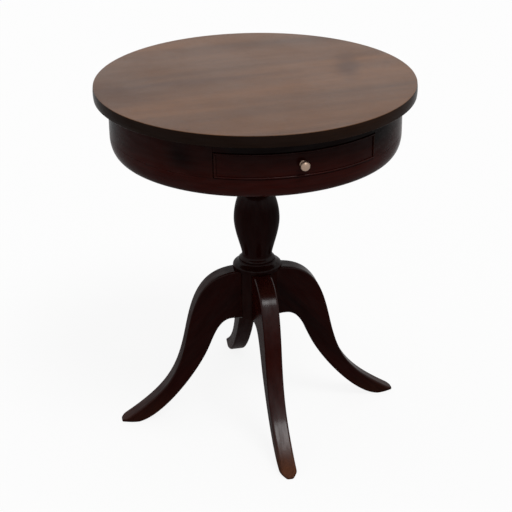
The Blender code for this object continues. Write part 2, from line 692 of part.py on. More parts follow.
# Washer and screw that keep the drum on its pivot
pivot_hole = PIVOT_SCREW.shank_radius + GAP
washer = tube("pivot_washer", pivot_hole, WASHER_RADIUS, WASHER_FOOT, WASHER_TOP, COLUMN_STEPS)
piece(washer, STEEL, BASE)
drive("pivot_screw", PIVOT_SCREW, (0, 0, WASHER_TOP + GAP), DOWN, STEEL, BASE, ())


def collar_profile():
    """Half section of the collar: a hollow slope down to an upright rim."""
    bore = TENON_RADIUS + GAP
    rim_top = COLLAR_BOTTOM + COLLAR_RIM
    middle = (COLLAR_TOP + rim_top) / 2
    slope = cubic(
        (COLLAR_TOP_RADIUS, COLLAR_TOP), (COLLAR_TOP_RADIUS, middle), (COLLAR_RADIUS, middle),
        (COLLAR_RADIUS, rim_top), 6,
    )
    return [(bore, COLLAR_TOP), (COLLAR_TOP_RADIUS, COLLAR_TOP), *slope, (COLLAR_RADIUS, COLLAR_BOTTOM),
            (bore, COLLAR_BOTTOM)]


piece(turned("collar", collar_profile(), COLUMN_STEPS, ring=True), DARK_MAHOGANY, BASE)


def around(points):
    """Repeat a run of (x, y) points at each leg, round the axis."""
    turns = [LEG_STEP * i for i in range(len(LEG_NAMES))]
    return [
        (x * math.cos(turn) - y * math.sin(turn), x * math.sin(turn) + y * math.cos(turn))
        for turn in turns
        for x, y in points
    ]


# Hub: an eight-sided block with a bore for the column's tenon
hub_flat = LEG_WIDTH / 2 + HUB_SHOULDER
hub = extruded("leg_hub", around([(HUB_HALF, -hub_flat), (HUB_HALF, hub_flat)]), HUB_UNDERSIDE, HUB_TOP)
piece(hub, DARK_MAHOGANY, BASE)
tenon_bore = disc(
    "tenon_bore", TENON_RADIUS + GAP, HUB_UNDERSIDE + HUB_FLOOR, HUB_TOP + CUT_MARGIN, COLUMN_STEPS
)
carve(hub, cutter(tenon_bore, BASE))

# Spider plate: a flat cross whose arms narrow to round ends
plate_half = PLATE_WIDTH / 2
plate_root = PLATE_ROOT_WIDTH / 2
arm_end = arc((PLATE_ARM - plate_half, 0), (plate_half, plate_half), -90, 90, 7)
plate_outline = around([*arm_end, (plate_root, plate_root)])
spider_plate = piece(extruded("spider_plate", plate_outline, PLATE_FOOT, PLATE_TOP), IRON, BASE)
drive("centre_screw", CENTRE_SCREW, (0, 0, PLATE_FOOT), UP, IRON, BASE, (spider_plate, hub))


def leg_outlines():
    """Matching points down the leg's upper and lower edges, from the hub to the toe."""
    upper_start = (LEG_ROOT, HUB_TOP)
    toe = (TOE_RADIUS, TOE_HEIGHT)
    tip = (TOE_RADIUS + TOE_TIP, TOE_HEIGHT / 3)
    upper = [
        upper_start,
        *cubic(upper_start, along(upper_start, 0, KNEE_HANDLE),
               along(UPPER_WAIST, UPPER_SLOPE, -UPPER_HANDLES[0]), UPPER_WAIST, KNEE_STATIONS),
        *cubic(UPPER_WAIST, along(UPPER_WAIST, UPPER_SLOPE, UPPER_HANDLES[1]),
               along(toe, TOE_SLOPE, -TOE_HANDLE), toe, SHANK_STATIONS),
        *cubic(toe, along(toe, TOE_SLOPE, TOE_TIP / 2), (tip[0], TOE_HEIGHT / 2), tip, 3),
    ]
    arch = (ARCH_RADIUS, HUB_UNDERSIDE)
    heel = (TOE_RADIUS - SOLE_LENGTH, 0)
    sole_end = (TOE_RADIUS + TOE_TIP / 3, 0)
    lower = [
        (LEG_ROOT, HUB_UNDERSIDE),
        ((LEG_ROOT + ARCH_RADIUS) / 2, HUB_UNDERSIDE),
        arch,
        *cubic(arch, along(arch, 0, ARCH_HANDLE), along(LOWER_WAIST, LOWER_SLOPE, -LOWER_HANDLES[0]),
               LOWER_WAIST, KNEE_STATIONS - 2),
        *cubic(LOWER_WAIST, along(LOWER_WAIST, LOWER_SLOPE, LOWER_HANDLES[1]),
               along(heel, SOLE_SLOPE, -SOLE_HANDLE), heel, SHANK_STATIONS),
        ((heel[0] + sole_end[0]) / 2, 0),
        sole_end,
        (tip[0], TOE_HEIGHT / 10),
    ]
    return upper, lower


def leg_section(upper, lower, width):
    """A rounded rectangle between an upper and a lower edge point, as (x, y, z) points."""
    depth = math.dist(upper, lower)
    rise = ((upper[0] - lower[0]) / depth, (upper[1] - lower[1]) / depth)
    middle = ((upper[0] + lower[0]) / 2, (upper[1] + lower[1]) / 2)
    edge = min(LEG_EDGE, depth * 0.4, width * 0.4)
    points = []
    for corner in range(4):
        turn = 90 * corner
        side_sign = 1 if corner in (0, 3) else -1
        rise_sign = 1 if corner in (0, 1) else -1
        centre = (side_sign * (width / 2 - edge), rise_sign * (depth / 2 - edge))
        for across, up in arc(centre, (edge, edge), turn, turn + 90, 3):
            points.append((middle[0] + up * rise[0], across, middle[1] + up * rise[1]))
    return points


def leg_width(share, reach):
    """Width of the leg at a share of its length and a distance from the axis, where its end is rounded."""
    past = min(max((reach - TOE_RADIUS) / TOE_TIP, 0), 1)
    return LEG_WIDTH + (TOE_WIDTH - LEG_WIDTH) * share - 2 * TOE_CORNER * (1 - math.sqrt(1 - past * past))


def leg_solid(name):
    """A leg along +X, lofted through sections that narrow towards the toe."""
    upper, lower = leg_outlines()
    shape = bmesh.new()
    last = len(upper) - 1
    rings = []
    for i, (high, low) in enumerate(zip(upper, lower)):
        width = leg_width(i / last, high[0])
        rings.append([shape.verts.new(point) for point in leg_section(high, low, width)])
    for ring, following in zip(rings, rings[1:]):
        for i in range(len(ring)):
            j = (i + 1) % len(ring)
            shape.faces.new((ring[i], ring[j], following[j], following[i]))
    shape.faces.new(rings[0])
    shape.faces.new(rings[-1])
    bmesh.ops.recalc_face_normals(shape, faces=shape.faces)
    mesh = bpy.data.meshes.new(name)
    shape.to_mesh(mesh)
    shape.free()
    mesh.shade_smooth()
    mesh.set_sharp_from_angle(angle=SHARP_ANGLE)
    return bpy.data.objects.new(name, mesh)


def dovetail(name, grow, low, high, buried):
    """The tongue on a leg's root, or with grow its slot in the hub; it reaches buried into its own piece."""
    neck = TONGUE_ROOT / 2 + grow
    tail = TONGUE_END / 2 + grow
    inner = LEG_ROOT - TONGUE_DEPTH - grow
    half = [(buried, neck), (LEG_ROOT, neck), (inner, tail)]
    outline = half + [(x, -y) for x, y in reversed(half)]
    return cutter(extruded(name, outline, low, high), BASE)


# Legs, each with a dovetail tongue in the hub and a screw through the spider plate
tongue_top = HUB_TOP - TONGUE_DROP
for leg_place, leg_name in enumerate(LEG_NAMES):
    turn = leg_place * LEG_STEP
    leg = piece(leg_solid(f"leg_{leg_name}"), MAHOGANY, BASE)
    tongue = dovetail(f"tongue_{leg_name}", 0, HUB_UNDERSIDE, tongue_top, LEG_ROOT + TONGUE_DEPTH / 2)
    slot = dovetail(
        f"slot_{leg_name}", GAP, HUB_UNDERSIDE - CUT_MARGIN, tongue_top + GAP, LEG_ROOT + CUT_MARGIN
    )
    for item in (leg, tongue, slot):
        item.rotation_euler.z = turn
    carve(leg, tongue, "UNION")
    carve(hub, slot)
    place = (PLATE_SCREW_RADIUS * math.cos(turn), PLATE_SCREW_RADIUS * math.sin(turn), PLATE_FOOT)
    drive(f"plate_screw_{leg_name}", PLATE_SCREW, place, UP, IRON, BASE, (spider_plate, leg))
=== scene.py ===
import math
from collections import namedtuple

import bmesh
import bpy
from mathutils import Matrix, Vector


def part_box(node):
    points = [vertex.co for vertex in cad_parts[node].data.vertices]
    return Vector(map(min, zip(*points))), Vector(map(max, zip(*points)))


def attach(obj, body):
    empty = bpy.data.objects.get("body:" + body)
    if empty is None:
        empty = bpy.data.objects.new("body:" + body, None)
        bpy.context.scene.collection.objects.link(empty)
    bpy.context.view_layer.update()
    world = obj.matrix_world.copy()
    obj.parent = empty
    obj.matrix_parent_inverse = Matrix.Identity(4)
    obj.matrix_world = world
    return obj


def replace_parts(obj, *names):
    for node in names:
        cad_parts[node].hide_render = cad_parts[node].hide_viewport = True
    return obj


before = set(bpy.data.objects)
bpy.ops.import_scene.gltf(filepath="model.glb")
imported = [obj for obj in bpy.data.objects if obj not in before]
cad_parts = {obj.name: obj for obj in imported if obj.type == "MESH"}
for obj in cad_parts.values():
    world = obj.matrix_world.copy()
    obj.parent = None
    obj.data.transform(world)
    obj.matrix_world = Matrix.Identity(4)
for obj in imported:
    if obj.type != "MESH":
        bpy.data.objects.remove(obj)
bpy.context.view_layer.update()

# Legs: four sabre legs of dark mahogany, each sawn from one board, rounded along its edges and polished.
# A dovetail tongue at the root slides up into the hub.
# The front leg is kicked most, so its toe is rubbed bare.
MM = 0.001
BASE_TURN = math.radians(-5.2)
LEG_TURNS = {"right": 0, "back": math.pi / 2, "left": math.pi, "front": -math.pi / 2}
HUB_FOOT = 181 * MM
HUB_TOP = 268 * MM
LEG_ROOT = 30.3 * MM
LEG_WIDTH = 31 * MM
TOE_WIDTH = 25 * MM
LEG_EDGE = 3.5 * MM
EDGE_SHARE = 0.4  # the most of a thin section's depth or width that a rounded edge takes
KNEE_HANDLE = 65 * MM
UPPER_WAIST = (123.5 * MM, 160 * MM)
UPPER_SLOPE = math.radians(-78)
UPPER_HANDLES = (65 * MM, 74 * MM)
TOE = (231 * MM, 10 * MM)
TOE_SLOPE = math.radians(-32)
TOE_HANDLE = 89 * MM
TOE_TIP = 9 * MM
TOE_CORNER = 10 * MM
TIP_LEVEL = TOE[1] / 3
LIP_LEVEL = TOE[1] / 10
SOLE_END = (TOE[0] + TOE_TIP / 3, 0)
ARCH = (46.3 * MM, HUB_FOOT)
ARCH_HANDLE = 22 * MM
LOWER_WAIST = (86.5 * MM, 132 * MM)
LOWER_SLOPE = math.radians(-67)
LOWER_HANDLES = (23 * MM, 54 * MM)
HEEL = (211 * MM, 0)
SOLE_SLOPE = math.radians(-7)
SOLE_HANDLE = 40 * MM
KNEE_STATIONS = 30
FLAT_STATIONS = 6
SHANK_STATIONS = 27
SOLE_STATIONS = 6
TIP_STATIONS = 9
CORNER_POINTS = 5
TONGUE_ROOT = 12 * MM
TONGUE_END = 17 * MM
TONGUE_DEPTH = 11 * MM
TONGUE_TOP = 254 * MM
LEG_GRAIN = math.radians(47)  # how steeply the board's grain runs down to the toe
TOE_WEAR_HEIGHT = 62 * MM
TOE_BARE_HEIGHT = 11 * MM
TOE_WEAR_STEP = 5 * MM
TOE_LIGHT = (0.125, 0.048, 0.026, 1)
TOE_DARK = (0.04, 0.014, 0.008, 1)
TOE_PORES = 0.8
TOE_DULL = 0.2


def curve(start, leaving, arriving, end, count):
    """Points on a cubic curve from just after its start to its end."""
    points = []
    for i in range(1, count + 1):
        t = i / count
        weights = ((1 - t) ** 3, 3 * (1 - t) ** 2 * t, 3 * (1 - t) * t * t, t ** 3)
        corners = (start, leaving, arriving, end)
        points.append(tuple(sum(w * c[k] for w, c in zip(weights, corners)) for k in range(2)))
    return points


def line(start, end, count):
    """Points on a straight line from just after its start to its end."""
    return [tuple(a + (b - a) * i / count for a, b in zip(start, end)) for i in range(1, count + 1)]


def ahead(point, slope, distance):
    """The point at this distance from another, in the direction of a slope."""
    return (point[0] + distance * math.cos(slope), point[1] + distance * math.sin(slope))


def arc(centre, radii, start, end, count):
    """Points on an elliptical arc between two angles in degrees."""
    points = []
    for i in range(count):
        angle = math.radians(start + (end - start) * i / (count - 1))
        points.append((centre[0] + radii[0] * math.cos(angle), centre[1] + radii[1] * math.sin(angle)))
    return points


def leg_edges():
    """Matching points down the leg's upper and lower edges, from the hub to the toe."""
    root = (LEG_ROOT, HUB_TOP)
    tip = (TOE[0] + TOE_TIP, TIP_LEVEL)
    upper = [
        root,
        *curve(root, ahead(root, 0, KNEE_HANDLE), ahead(UPPER_WAIST, UPPER_SLOPE, -UPPER_HANDLES[0]),
               UPPER_WAIST, KNEE_STATIONS),
        *curve(UPPER_WAIST, ahead(UPPER_WAIST, UPPER_SLOPE, UPPER_HANDLES[1]),
               ahead(TOE, TOE_SLOPE, -TOE_HANDLE), TOE, SHANK_STATIONS),
        *curve(TOE, ahead(TOE, TOE_SLOPE, TOE_TIP / 2), (tip[0], TOE[1] / 2), tip, TIP_STATIONS),
    ]
    under = (LEG_ROOT, HUB_FOOT)
    lip = (tip[0], LIP_LEVEL)
    lower = [
        under,
        *line(under, ARCH, FLAT_STATIONS),
        *curve(ARCH, ahead(ARCH, 0, ARCH_HANDLE), ahead(LOWER_WAIST, LOWER_SLOPE, -LOWER_HANDLES[0]),
               LOWER_WAIST, KNEE_STATIONS - FLAT_STATIONS),
        *curve(LOWER_WAIST, ahead(LOWER_WAIST, LOWER_SLOPE, LOWER_HANDLES[1]),
               ahead(HEEL, SOLE_SLOPE, -SOLE_HANDLE), HEEL, SHANK_STATIONS),
        *line(HEEL, SOLE_END, SOLE_STATIONS),
        *curve(SOLE_END, (lip[0], 0), (lip[0], 0), lip, TIP_STATIONS - SOLE_STATIONS),
    ]
    return upper, lower


def leg_section(upper, lower, width):
    """A rounded rectangle between an upper and a lower edge point, as (x, y, z) points."""
    depth = math.dist(upper, lower)
    rise = ((upper[0] - lower[0]) / depth, (upper[1] - lower[1]) / depth)
    middle = ((upper[0] + lower[0]) / 2, (upper[1] + lower[1]) / 2)
    edge = min(LEG_EDGE, depth * EDGE_SHARE, width * EDGE_SHARE)
    points = []
    for corner in range(4):
        side_sign = 1 if corner in (0, 3) else -1
        rise_sign = 1 if corner in (0, 1) else -1
        centre = (side_sign * (width / 2 - edge), rise_sign * (depth / 2 - edge))
        for across, up in arc(centre, (edge, edge), 90 * corner, 90 * corner + 90, CORNER_POINTS):
            points.append((middle[0] + up * rise[0], across, middle[1] + up * rise[1]))
    return points


def place_mesh(name, shape):
    """Make a new object of a bmesh, with its faces turned outward."""
    bmesh.ops.recalc_face_normals(shape, faces=shape.faces)
    mesh = bpy.data.meshes.new(name)
    shape.to_mesh(mesh)
    shape.free()
    item = bpy.data.objects.new(name, mesh)
    bpy.context.scene.collection.objects.link(item)
    return item


def skin(shape, rings):
    """Faces between neighbouring rings of points; a ring of one point is a pole."""
    for ring, following in zip(rings, rings[1:]):
        count = max(len(ring), len(following))
        for i in range(count):
            j = (i + 1) % count
            corners = [ring[i % len(ring)], ring[j % len(ring)]]
            corners += [following[j % len(following)], following[i % len(following)]]
            shape.faces.new(list(dict.fromkeys(corners)))


def leg_shape(name):
    """One leg along +X, through sections that narrow towards the toe."""
    upper, lower = leg_edges()
    shape = bmesh.new()
    last = len(upper) - 1
    rings = []
    for i, (high, low) in enumerate(zip(upper, lower)):
        past = min(max((high[0] - TOE[0]) / TOE_TIP, 0), 1)
        width = LEG_WIDTH + (TOE_WIDTH - LEG_WIDTH) * i / last
        width -= 2 * TOE_CORNER * (1 - math.sqrt(1 - past * past))
        rings.append([shape.verts.new(point) for point in leg_section(high, low, width)])
    skin(shape, rings)
    shape.faces.new(rings[0])
    shape.faces.new(rings[-1])
    return place_mesh(name, shape)


def prism(name, outline, low, high, across=False):
    """A flat outline raised between two heights, or an upright (y, z) one drawn out along x."""
    shape = bmesh.new()
    rings = []
    for level in (low, high):
        points = [(level, a, b) if across else (a, b, level) for a, b in outline]
        rings.append([shape.verts.new(point) for point in points])
    skin(shape, rings)
    for ring in rings:
        shape.faces.new(ring)
    return place_mesh(name, shape)


def shaped(item, tool, operation="DIFFERENCE"):
    """Cut an object with a tool, or join the two, and take the tool away."""
    change = item.modifiers.new("shaped", "BOOLEAN")
    change.object = tool
    change.operation = operation
    change.solver = "EXACT"
    bpy.context.view_layer.update()
    made = bpy.data.meshes.new_from_object(item.evaluated_get(bpy.context.evaluated_depsgraph_get()))
    rough = item.data
    item.modifiers.remove(change)
    item.data = made
    bpy.data.meshes.remove(rough)
    bpy.data.objects.remove(tool)
    return item


def smooth(item, angle=35):
    """Shade an object smooth, apart from its sharper edges, and keep its flats flat."""
    item.data.shade_smooth()
    item.data.set_sharp_from_angle(angle=math.radians(angle))
    flats = item.modifiers.new("flats", "WEIGHTED_NORMAL")
    flats.keep_sharp = True
    return item


def tongue(name, grow, low, high, buried):
    """The dovetail tongue at a leg's root, or with grow the slot it slides in."""
    neck = TONGUE_ROOT / 2 + grow
    tail = TONGUE_END / 2 + grow
    inner = LEG_ROOT - TONGUE_DEPTH - grow
    half = [(buried, neck), (LEG_ROOT, neck), (inner, tail)]
    return prism(name, half + [(x, -y) for x, y in reversed(half)], low, high)


def node(tree, kind, feeds=None, **settings):
    """A shader node with its settings, and with values or other nodes' sockets in its inputs."""
    item = tree.nodes.new(kind)
    for label, value in settings.items():
        setattr(item, label, value)
    for label, value in (feeds or {}).items():
        if isinstance(value, bpy.types.NodeSocket):
            tree.links.new(value, item.inputs[label])
        else:
            item.inputs[label].default_value = value
    return item


def drawn_noise(tree, place, scales, detail=3.0, distortion=0.0):
    """Noise with its own scale in each direction, so that it can be drawn out along the grain."""
    spread = node(tree, "ShaderNodeVectorMath", {0: place, 1: scales}, operation="MULTIPLY")
    feeds = {"Vector": spread.outputs[0], "Scale": 1.0, "Detail": detail, "Distortion": distortion}
    return node(tree, "ShaderNodeTexNoise", feeds).outputs[0]


def ranged(tree, value, low, high, start=0.0, end=1.0):
    """A value's range moved to another one, and held within it."""
    feeds = {"Value": value, "From Min": low, "From Max": high, "To Min": start, "To Max": end}
    return node(tree, "ShaderNodeMapRange", feeds).outputs[0]


def calc(tree, operation, first, second=0.0):
    """The result of one sum."""
    return node(tree, "ShaderNodeMath", {0: first, 1: second}, operation=operation).outputs[0]


def blended(tree, share, first, second):
    """Two colours mixed by a share."""
    feeds = {0: share, 6: first, 7: second}
    return node(tree, "ShaderNodeMix", feeds, data_type="RGBA").outputs[2]


def effect(name, inputs, outputs):
    """A shader node group with named inputs, each with a starting value, and named outputs."""
    tree = bpy.data.node_groups.new(name, "ShaderNodeTree")
    for label, kind, value in inputs:
        tree.interface.new_socket(name=label, in_out="INPUT", socket_type=kind).default_value = value
    for label, kind in outputs:
        tree.interface.new_socket(name=label, in_out="OUTPUT", socket_type=kind)
    return tree, tree.nodes.new("NodeGroupInput").outputs, tree.nodes.new("NodeGroupOutput").inputs


VECTOR, COLOUR, NUMBER = "NodeSocketVector", "NodeSocketColor", "NodeSocketFloat"

# Figure of the wood: broad ribbon stripes, fine fibres and short dark pores, all drawn out along X
FIGURE, given, made = effect(
    "wood_figure",
    [
        ("Place", VECTOR, (0, 0, 0)),
        ("Light", COLOUR, (0.1, 0.04, 0.02, 1)),
        ("Dark", COLOUR, (0.05, 0.02, 0.01, 1)),
        ("Pores", NUMBER, 0.6),
    ],
    [("Colour", COLOUR), ("Relief", NUMBER)],
)
bands = ranged(FIGURE, drawn_noise(FIGURE, given["Place"], (1.1, 9, 9), 2.0, 0.6), 0.32, 0.68)
stripes = drawn_noise(FIGURE, given["Place"], (2.4, 24, 24), 4.0, 0.5)
fibres = drawn_noise(FIGURE, given["Place"], (14, 420, 420), 3.0, 0.2)
pores = ranged(FIGURE, drawn_noise(FIGURE, given["Place"], (75, 1500, 1500), 1.0), 0.6, 0.7)
ribbon = ranged(FIGURE, stripes, 0.34, 0.66, 0, 0.4)
figure_share = calc(FIGURE, "ADD", calc(FIGURE, "MULTIPLY", bands, 0.4), ribbon)
grain_share = calc(FIGURE, "ADD", figure_share, ranged(FIGURE, fibres, 0.3, 0.7, 0, 0.2))
figured = blended(FIGURE, grain_share, given["Dark"], given["Light"])
pore_share = calc(FIGURE, "MULTIPLY", pores, given["Pores"])
FIGURE.links.new(blended(FIGURE, pore_share, figured, (0.008, 0.004, 0.003, 1)), made["Colour"])
FIGURE.links.new(calc(FIGURE, "SUBTRACT", calc(FIGURE, "MULTIPLY", fibres, 0.35), pores), made["Relief"])

# Old polish: cloudy patches and fine rubbing marks in its gloss, and a slow ripple in its surface
POLISH, given, made = effect(
    "old_polish",
    [("Place", VECTOR, (0, 0, 0)), ("Gloss", NUMBER, 0.2), ("Dull", NUMBER, 0.4)],
    [("Roughness", NUMBER), ("Ripple", NUMBER)],
)
clouds = ranged(POLISH, drawn_noise(POLISH, given["Place"], (11, 11, 11), 5.0), 0.35, 0.68)
rubbing = ranged(POLISH, drawn_noise(POLISH, given["Place"], (60, 700, 700), 2.0), 0.45, 0.75)
dulled = calc(POLISH, "ADD", calc(POLISH, "MULTIPLY", clouds, 0.7), calc(POLISH, "MULTIPLY", rubbing, 0.3))
POLISH.links.new(ranged(POLISH, dulled, 0, 1, given["Gloss"], given["Dull"]), made["Roughness"])
POLISH.links.new(drawn_noise(POLISH, given["Place"], (28, 28, 28), 2.0), made["Ripple"])

# Rubbed edges: a mask on the mesh's outer edges, broken up so that it isn't a ruled line
RUBBED, given, made = effect(
    "rubbed_edges",
    [("Place", VECTOR, (0, 0, 0)), ("Start", NUMBER, 0.53), ("Full", NUMBER, 0.62)],
    [("Mask", NUMBER)],
)
sharpness = node(RUBBED, "ShaderNodeNewGeometry").outputs["Pointiness"]
outward = ranged(RUBBED, sharpness, given["Start"], given["Full"])
patches = ranged(RUBBED, drawn_noise(RUBBED, given["Place"], (45, 45, 45), 4.0), 0.38, 0.62, 0.25, 1)
RUBBED.links.new(calc(RUBBED, "MULTIPLY", outward, patches), made["Mask"])

# Wax on the polish: thick where a face looks up and is rubbed, thin on upright and hanging faces
WAXED, given, made = effect(
    "wax_on_upper_faces",
    [("Place", VECTOR, (0, 0, 0)), ("Thin", NUMBER, 0.06), ("Thick", NUMBER, 0.28)],
    [("Weight", NUMBER)],
)
outward = node(WAXED, "ShaderNodeNewGeometry").outputs["Normal"]
facing_up = node(WAXED, "ShaderNodeSeparateXYZ", {0: outward}).outputs["Z"]
laid_on = ranged(WAXED, facing_up, 0.2, 0.6, given["Thin"], given["Thick"])
streaks = ranged(WAXED, drawn_noise(WAXED, given["Place"], (30, 120, 120), 4.0), 0.3, 0.7, 0.5, 1.0)
WAXED.links.new(calc(WAXED, "MULTIPLY", laid_on, streaks), made["Weight"])

OWN_STEP = (3.1, 5.3, 7.7)
GRAIN_DEPTH = 0.15 * MM
GRAIN_STRENGTH = 0.5
RIPPLE_SHARE = 2.5


def own_place(tree):
    """Places on the piece in its own axes, moved by a random step so that like pieces differ."""
    own = node(tree, "ShaderNodeTexCoord").outputs["Object"]
    chance = node(tree, "ShaderNodeObjectInfo").outputs["Random"]
    feeds = {0: OWN_STEP, "Scale": chance}
    step = node(tree, "ShaderNodeVectorMath", feeds, operation="SCALE").outputs[0]
    return node(tree, "ShaderNodeVectorMath", {0: own, 1: step}, operation="ADD").outputs[0]


def down_leg(tree):
    """Places on a leg with X along its board's grain."""
    feeds = {"Vector": own_place(tree), "Rotation": (0, -LEG_GRAIN, 0)}
    return node(tree, "ShaderNodeMapping", feeds).outputs[0]


def wood_finish(name, place, light, dark, gloss, dull, rubbed, fixed, pores=0.6, wax=(0.06, 0.28)):
    """A polished or planed wood with figure, uneven gloss and rubbed edges.

    fixed holds plain shader values, and wax the weights of the coat on upright and on upward faces.
    """
    material = bpy.data.materials.new(name)
    material.use_nodes = True
    tree = material.node_tree
    shader = tree.nodes["Principled BSDF"]
    for label, value in fixed.items():
        shader.inputs[label].default_value = value
    where = place(tree)
    feeds = {"Place": where, "Light": (*light, 1), "Dark": (*dark, 1), "Pores": pores}
    grain = node(tree, "ShaderNodeGroup", feeds, node_tree=FIGURE)
    polish = node(tree, "ShaderNodeGroup", {"Place": where, "Gloss": gloss, "Dull": dull}, node_tree=POLISH)
    edges = node(tree, "ShaderNodeGroup", {"Place": where}, node_tree=RUBBED)
    colour = blended(tree, edges.outputs["Mask"], grain.outputs["Colour"], (*rubbed, 1))
    ripple = calc(tree, "MULTIPLY", polish.outputs["Ripple"], RIPPLE_SHARE)
    height = calc(tree, "ADD", grain.outputs["Relief"], ripple)
    feeds = {"Height": height, "Strength": GRAIN_STRENGTH, "Distance": GRAIN_DEPTH}
    bump = node(tree, "ShaderNodeBump", feeds)
    tree.links.new(colour, shader.inputs["Base Color"])
    tree.links.new(polish.outputs["Roughness"], shader.inputs["Roughness"])
    tree.links.new(bump.outputs[0], shader.inputs["Normal"])
    if "Coat Roughness" in fixed:
        feeds = {"Place": where, "Thin": wax[0], "Thick": wax[1]}
        coat = node(tree, "ShaderNodeGroup", feeds, node_tree=WAXED)
        tree.links.new(coat.outputs["Weight"], shader.inputs["Coat Weight"])
    return material


def leg_finish(name, wear, wax):
    """Dark polished mahogany, rubbed through near the floor to bare brown wood by a share of wear."""
    material = wood_finish(
        name, down_leg, light=(0.034, 0.0046, 0.003), dark=(0.0062, 0.0014, 0.0011), gloss=0.2, dull=0.36,
        rubbed=(0.042, 0.012, 0.0075), fixed=DARK_POLISH, wax=wax,
    )
    tree = material.node_tree
    shader = tree.nodes["Principled BSDF"]
    own = node(tree, "ShaderNodeTexCoord").outputs["Object"]
    height = node(tree, "ShaderNodeSeparateXYZ", {0: own}).outputs["Z"]
    patches = drawn_noise(tree, own, (70, 70, 70), 4.0)
    lifted = calc(tree, "ADD", height, ranged(tree, patches, 0.3, 0.7, -TOE_WEAR_STEP, TOE_WEAR_STEP))
    low_down = calc(tree, "POWER", ranged(tree, lifted, TOE_WEAR_HEIGHT, TOE_BARE_HEIGHT), 2.0)
    bare = calc(tree, "MULTIPLY", low_down, wear)
    colour, roughness, coat = (shader.inputs[label] for label in ("Base Color", "Roughness", "Coat Weight"))
    feeds = {"Place": down_leg(tree), "Light": TOE_LIGHT, "Dark": TOE_DARK, "Pores": TOE_PORES}
    bare_wood = node(tree, "ShaderNodeGroup", feeds, node_tree=FIGURE).outputs["Colour"]
    worn_colour = blended(tree, bare, colour.links[0].from_socket, bare_wood)
    dulled = calc(tree, "ADD", roughness.links[0].from_socket, calc(tree, "MULTIPLY", bare, TOE_DULL))
    waxed = calc(tree, "MULTIPLY", coat.links[0].from_socket, calc(tree, "SUBTRACT", 1.0, bare))
    tree.links.new(worn_colour, colour)
    tree.links.new(dulled, roughness)
    tree.links.new(waxed, coat)
    return material


DARK_POLISH = {"IOR": 1.015, "Coat Roughness": 0.2, "Coat IOR": 1.5}
kept_leg_mahogany = leg_finish("kept_leg_mahogany", wear=0.2, wax=(0.06, 0.32))
worn_leg_mahogany = leg_finish("worn_leg_mahogany", wear=1.0, wax=(0.06, 0.6))
leg_pattern = leg_shape("leg_pattern")
shaped(leg_pattern, tongue("leg_tongue", 0, HUB_FOOT, TONGUE_TOP, LEG_ROOT + TONGUE_DEPTH / 2), "UNION")
for leg_name, leg_turn in LEG_TURNS.items():
    leg = bpy.data.objects.new(f"sabre_leg_{leg_name}", leg_pattern.data.copy())
    bpy.context.scene.collection.objects.link(leg)
    leg.rotation_euler.z = BASE_TURN + leg_turn
    leg.data.materials.append(worn_leg_mahogany if leg_name == "front" else kept_leg_mahogany)
    smooth(leg)
    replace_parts(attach(leg, "base"), f"leg_{leg_name}")
bpy.data.objects.remove(leg_pattern)

# Hub: an eight-sided mahogany block at the foot of the column, with its grain upright.
# It is planed and polished, slotted from below for the leg tongues and bored for the column's tenon.
HUB_HALF = 30 * MM
HUB_FLAT = 17 * MM
HUB_EDGE = 0.8 * MM
GAP = 0.3 * MM
CUT_MARGIN = 2 * MM
TENON_RADIUS = 14 * MM
TENON_FOOT = 190.3 * MM
CENTRE_HOLE = 3.3 * MM
BORE_STEPS = 48
EASED_SEGMENTS = 2
EASED_ANGLE = math.radians(40)


def upright(tree):
    """Places on a piece with X along its upright grain."""
    parts = node(tree, "ShaderNodeSeparateXYZ", {0: own_place(tree)}).outputs
    return node(tree, "ShaderNodeCombineXYZ", {0: parts["Z"], 1: parts["X"], 2: parts["Y"]}).outputs[0]


def ease_edges(item, width):
    """Take the sharp edges off a piece, for good."""
    shape = bmesh.new()
    shape.from_mesh(item.data)
    inner = [edge for edge in shape.edges if len(edge.link_faces) == 2]
    sharp = [edge for edge in inner if edge.calc_face_angle(0) > EASED_ANGLE]
    bmesh.ops.bevel(
        shape, geom=sharp, offset=width, segments=EASED_SEGMENTS, profile=0.5, affect="EDGES",
        clamp_overlap=True,
    )
    shape.to_mesh(item.data)
    shape.free()
    return item


def around(points):
    """Repeat a run of (x, y) points at each of the four legs."""
    runs = []
    for quarter in range(4):
        for x, y in points:
            for _ in range(quarter):
                x, y = -y, x
            runs.append((x, y))
    return runs


hub_outline = around([(HUB_HALF, -HUB_FLAT), (HUB_HALF, HUB_FLAT)])
hub = ease_edges(prism("hub", hub_outline, HUB_FOOT, HUB_TOP), HUB_EDGE)
for leg_turn in LEG_TURNS.values():
    slot = tongue("hub_slot", GAP, HUB_FOOT - CUT_MARGIN, TONGUE_TOP + GAP, LEG_ROOT + CUT_MARGIN)
    slot.rotation_euler.z = leg_turn
    shaped(hub, slot)
hub_bores = ((TENON_RADIUS + GAP, TENON_FOOT - GAP), (CENTRE_HOLE, HUB_FOOT - CUT_MARGIN))
for bore_radius, bore_foot in hub_bores:
    bore = arc((0, 0), (bore_radius, bore_radius), 0, 360 - 360 / BORE_STEPS, BORE_STEPS)
    shaped(hub, prism("hub_bore", bore, bore_foot, HUB_TOP + CUT_MARGIN))
hub.rotation_euler.z = BASE_TURN
hub_mahogany = wood_finish(
    "hub_mahogany", upright, light=(0.022, 0.0034, 0.0022), dark=(0.005, 0.0013, 0.001),
    gloss=0.24, dull=0.42, rubbed=(0.036, 0.01, 0.0065), fixed=DARK_POLISH,
)
hub.data.materials.append(hub_mahogany)
smooth(hub)
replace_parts(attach(hub, "base"), "leg_hub")

